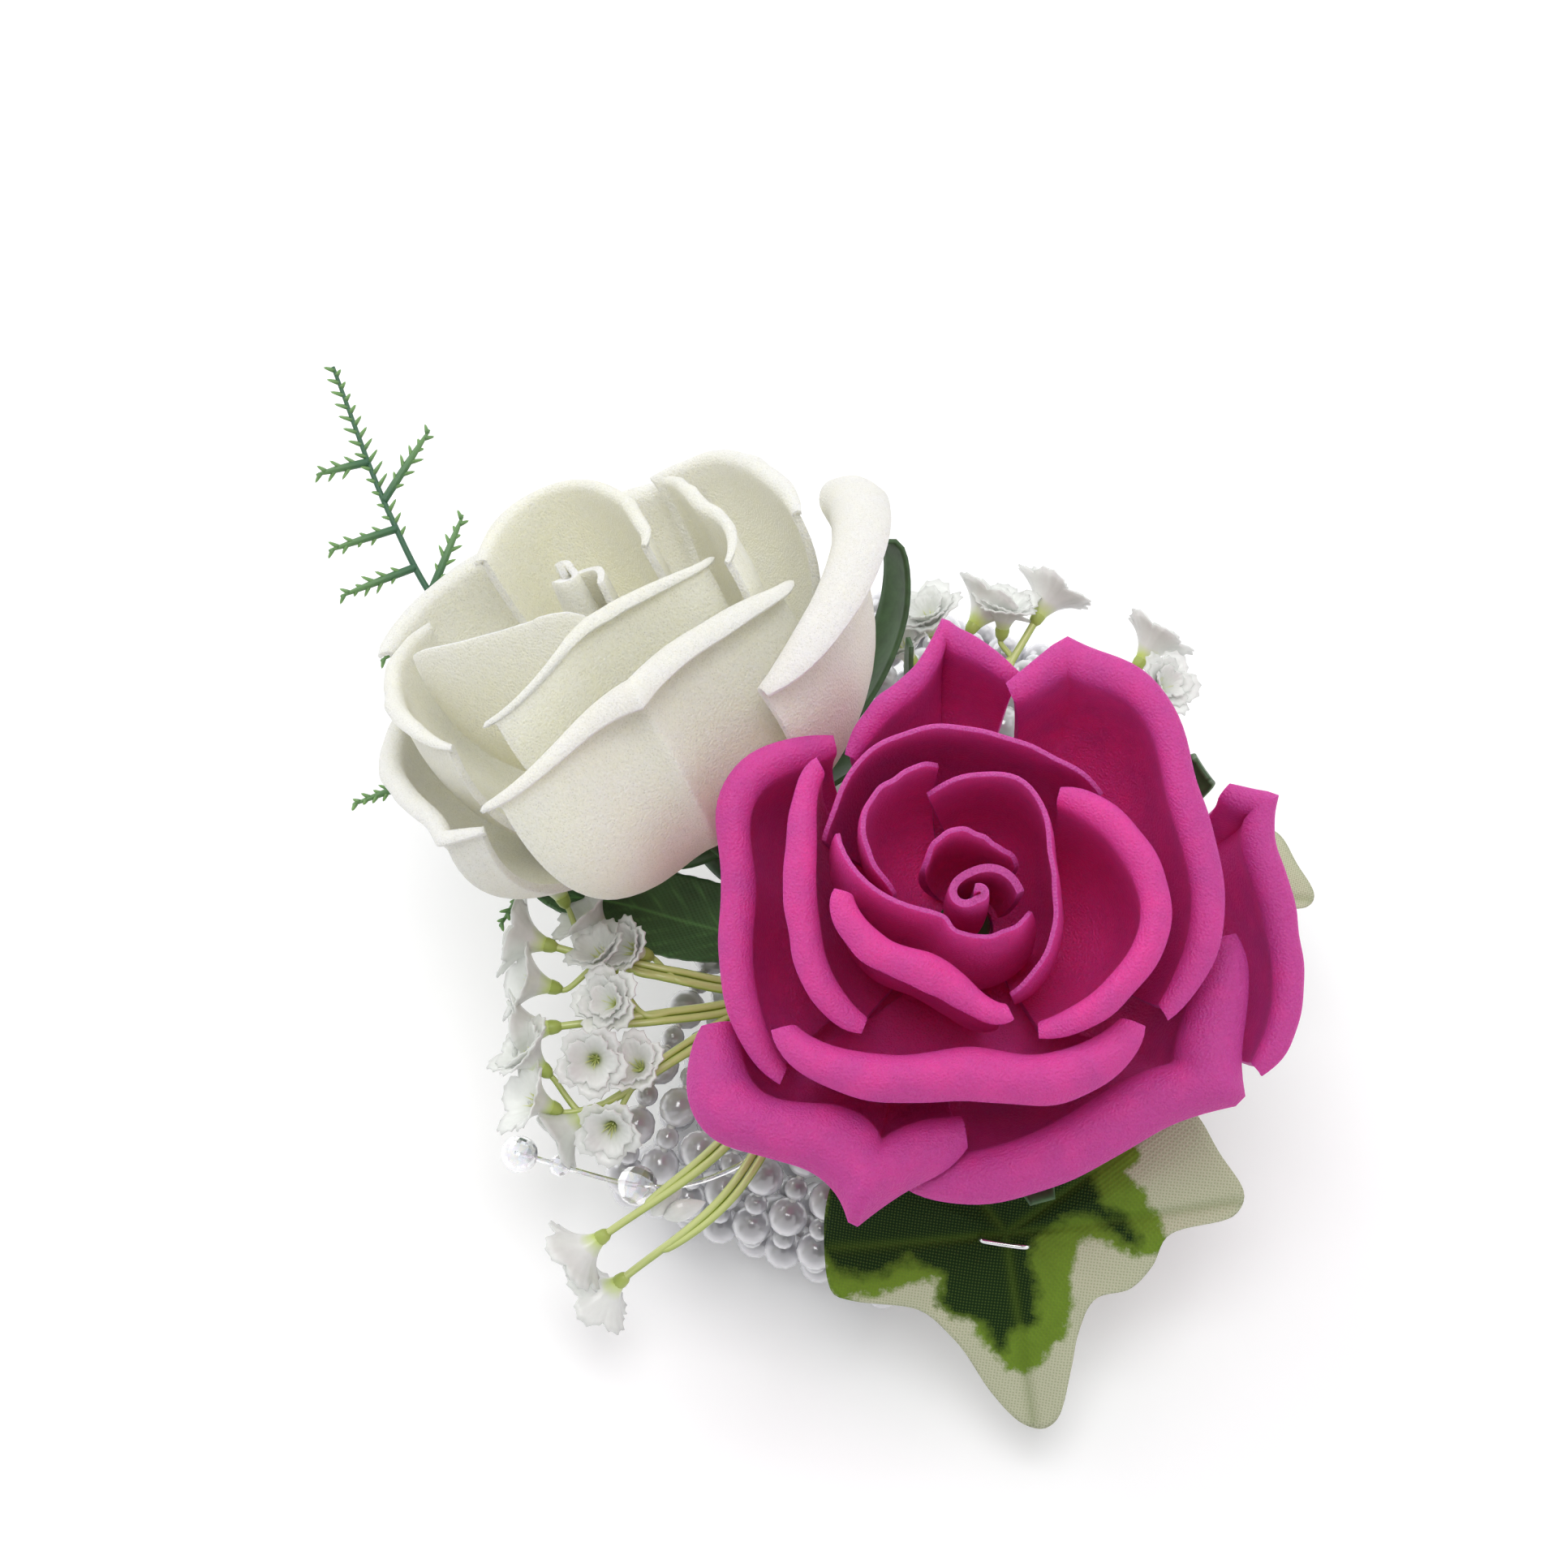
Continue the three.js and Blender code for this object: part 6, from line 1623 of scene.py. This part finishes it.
def pointed_petal(at, ahead, flat, length, width, thickness):
    """A frosted drop: a ball drawn out along ahead to a point, width and thickness across it."""
    points, faces = ball(12, 16)
    ends = points[:, 1:2]
    points[:, [0, 2]] *= np.clip(1 - ends**2, 0, 1) ** 0.25 * (1 - 0.35 * ends)
    across = unit(np.cross(ahead, flat))
    over = np.cross(across, ahead)
    frame_rows = np.array([across * width / 2, np.asarray(ahead) * length / 2, over * thickness / 2])
    return points @ frame_rows + np.asarray(at, float), faces


class CORSAGE_OT_beads(bpy.types.Operator):
    """Clear beads and frosted drops on a nylon line"""

    bl_idname = "corsage.beads"
    bl_label = "String the beads"

    def execute(self, context):
        clear, frosted = bead_material(), frosted_material()
        line_height = PLATE_TOP + SEAT_GAP + LINE_DIAMETER / 2
        route = smooth_route([
            beside_bundle(0.6, -BESIDE_REACH - LINE_DIAMETER / 2, line_height),
            (2, -24, 9), (0, -34, 7), (-8, -42, 5.6), (-25.5, -44.8, 5),
        ], LINE_POINTS)
        parts = [(*tube(route, LINE_DIAMETER / 2, 8), 0)]
        for share, diameter, rings, segments in (
            (0.985, 4, 14, 24), (0.74, 4.4, FACET_RINGS, FACET_SIDES), (0.42, 4.4, FACET_RINGS, FACET_SIDES),
            (0.9, 2.4, FACET_RINGS, FACET_SIDES),
        ):
            points, faces = ball(rings, segments)
            parts.append((points * diameter / 2 + route[int(share * (LINE_POINTS - 1))], faces, 0))
        for at, ahead, length, width in (
            ((-7.8, -43.2, 6), unit((0.25, 0.95, 0.15)), 5.4, 2.6),
            ((-5.6, -43.8, 5.7), unit((0.75, 0.65, 0.1)), 4.8, 2.3),
        ):
            parts.append((*pointed_petal(at, ahead, DROP_FACING, length, width, DROP_THICKNESS), 1))
        points, faces = join_parts([part[:2] for part in parts])
        finish = np.concatenate([np.full(len(part[1]), part[2]) for part in parts])
        made = make_object("bead_line", points, faces, [clear, frosted], finish, flat=True)
        settle(made, "clear_bead", "bead_spray", body="bead_line")
        return {"FINISHED"}


class CORSAGE_PT_panel(bpy.types.Panel):
    """Lists the pieces of the corsage"""

    bl_idname = "CORSAGE_PT_panel"
    bl_label = "Wrist Corsage"
    bl_space_type = "VIEW_3D"
    bl_region_type = "UI"
    bl_category = "Corsage"

    def draw(self, context):
        for operator in OPERATORS:
            self.layout.operator(operator.bl_idname)
        for group in (context.scene.corsage_sizes, context.scene.corsage_finishes):
            box = self.layout.box()
            for label in group.__annotations__:
                box.prop(group, label)


OPERATORS = (
    CORSAGE_OT_stage,
    CORSAGE_OT_pearls,
    CORSAGE_OT_backing,
    CORSAGE_OT_roses,
    CORSAGE_OT_leaves,
    CORSAGE_OT_ferns,
    CORSAGE_OT_gypsophila,
    CORSAGE_OT_beads,
)
CLASSES = (CorsageSizes, CorsageFinishes, *OPERATORS, CORSAGE_PT_panel)


def register():
    """Adds the classes and their settings."""
    for item in CLASSES:
        bpy.utils.register_class(item)
    bpy.types.Scene.corsage_sizes = bpy.props.PointerProperty(type=CorsageSizes)
    bpy.types.Scene.corsage_finishes = bpy.props.PointerProperty(type=CorsageFinishes)


def unregister():
    """Takes them away again."""
    del bpy.types.Scene.corsage_finishes
    del bpy.types.Scene.corsage_sizes
    for item in reversed(CLASSES):
        bpy.utils.unregister_class(item)


def main():
    register()
    bpy.ops.corsage.stage()
    bpy.ops.corsage.pearls()
    bpy.ops.corsage.backing()
    bpy.ops.corsage.roses()
    bpy.ops.corsage.leaves()
    bpy.ops.corsage.ferns()
    bpy.ops.corsage.gypsophila()
    bpy.ops.corsage.beads()


if __name__ == "__main__":
    main()
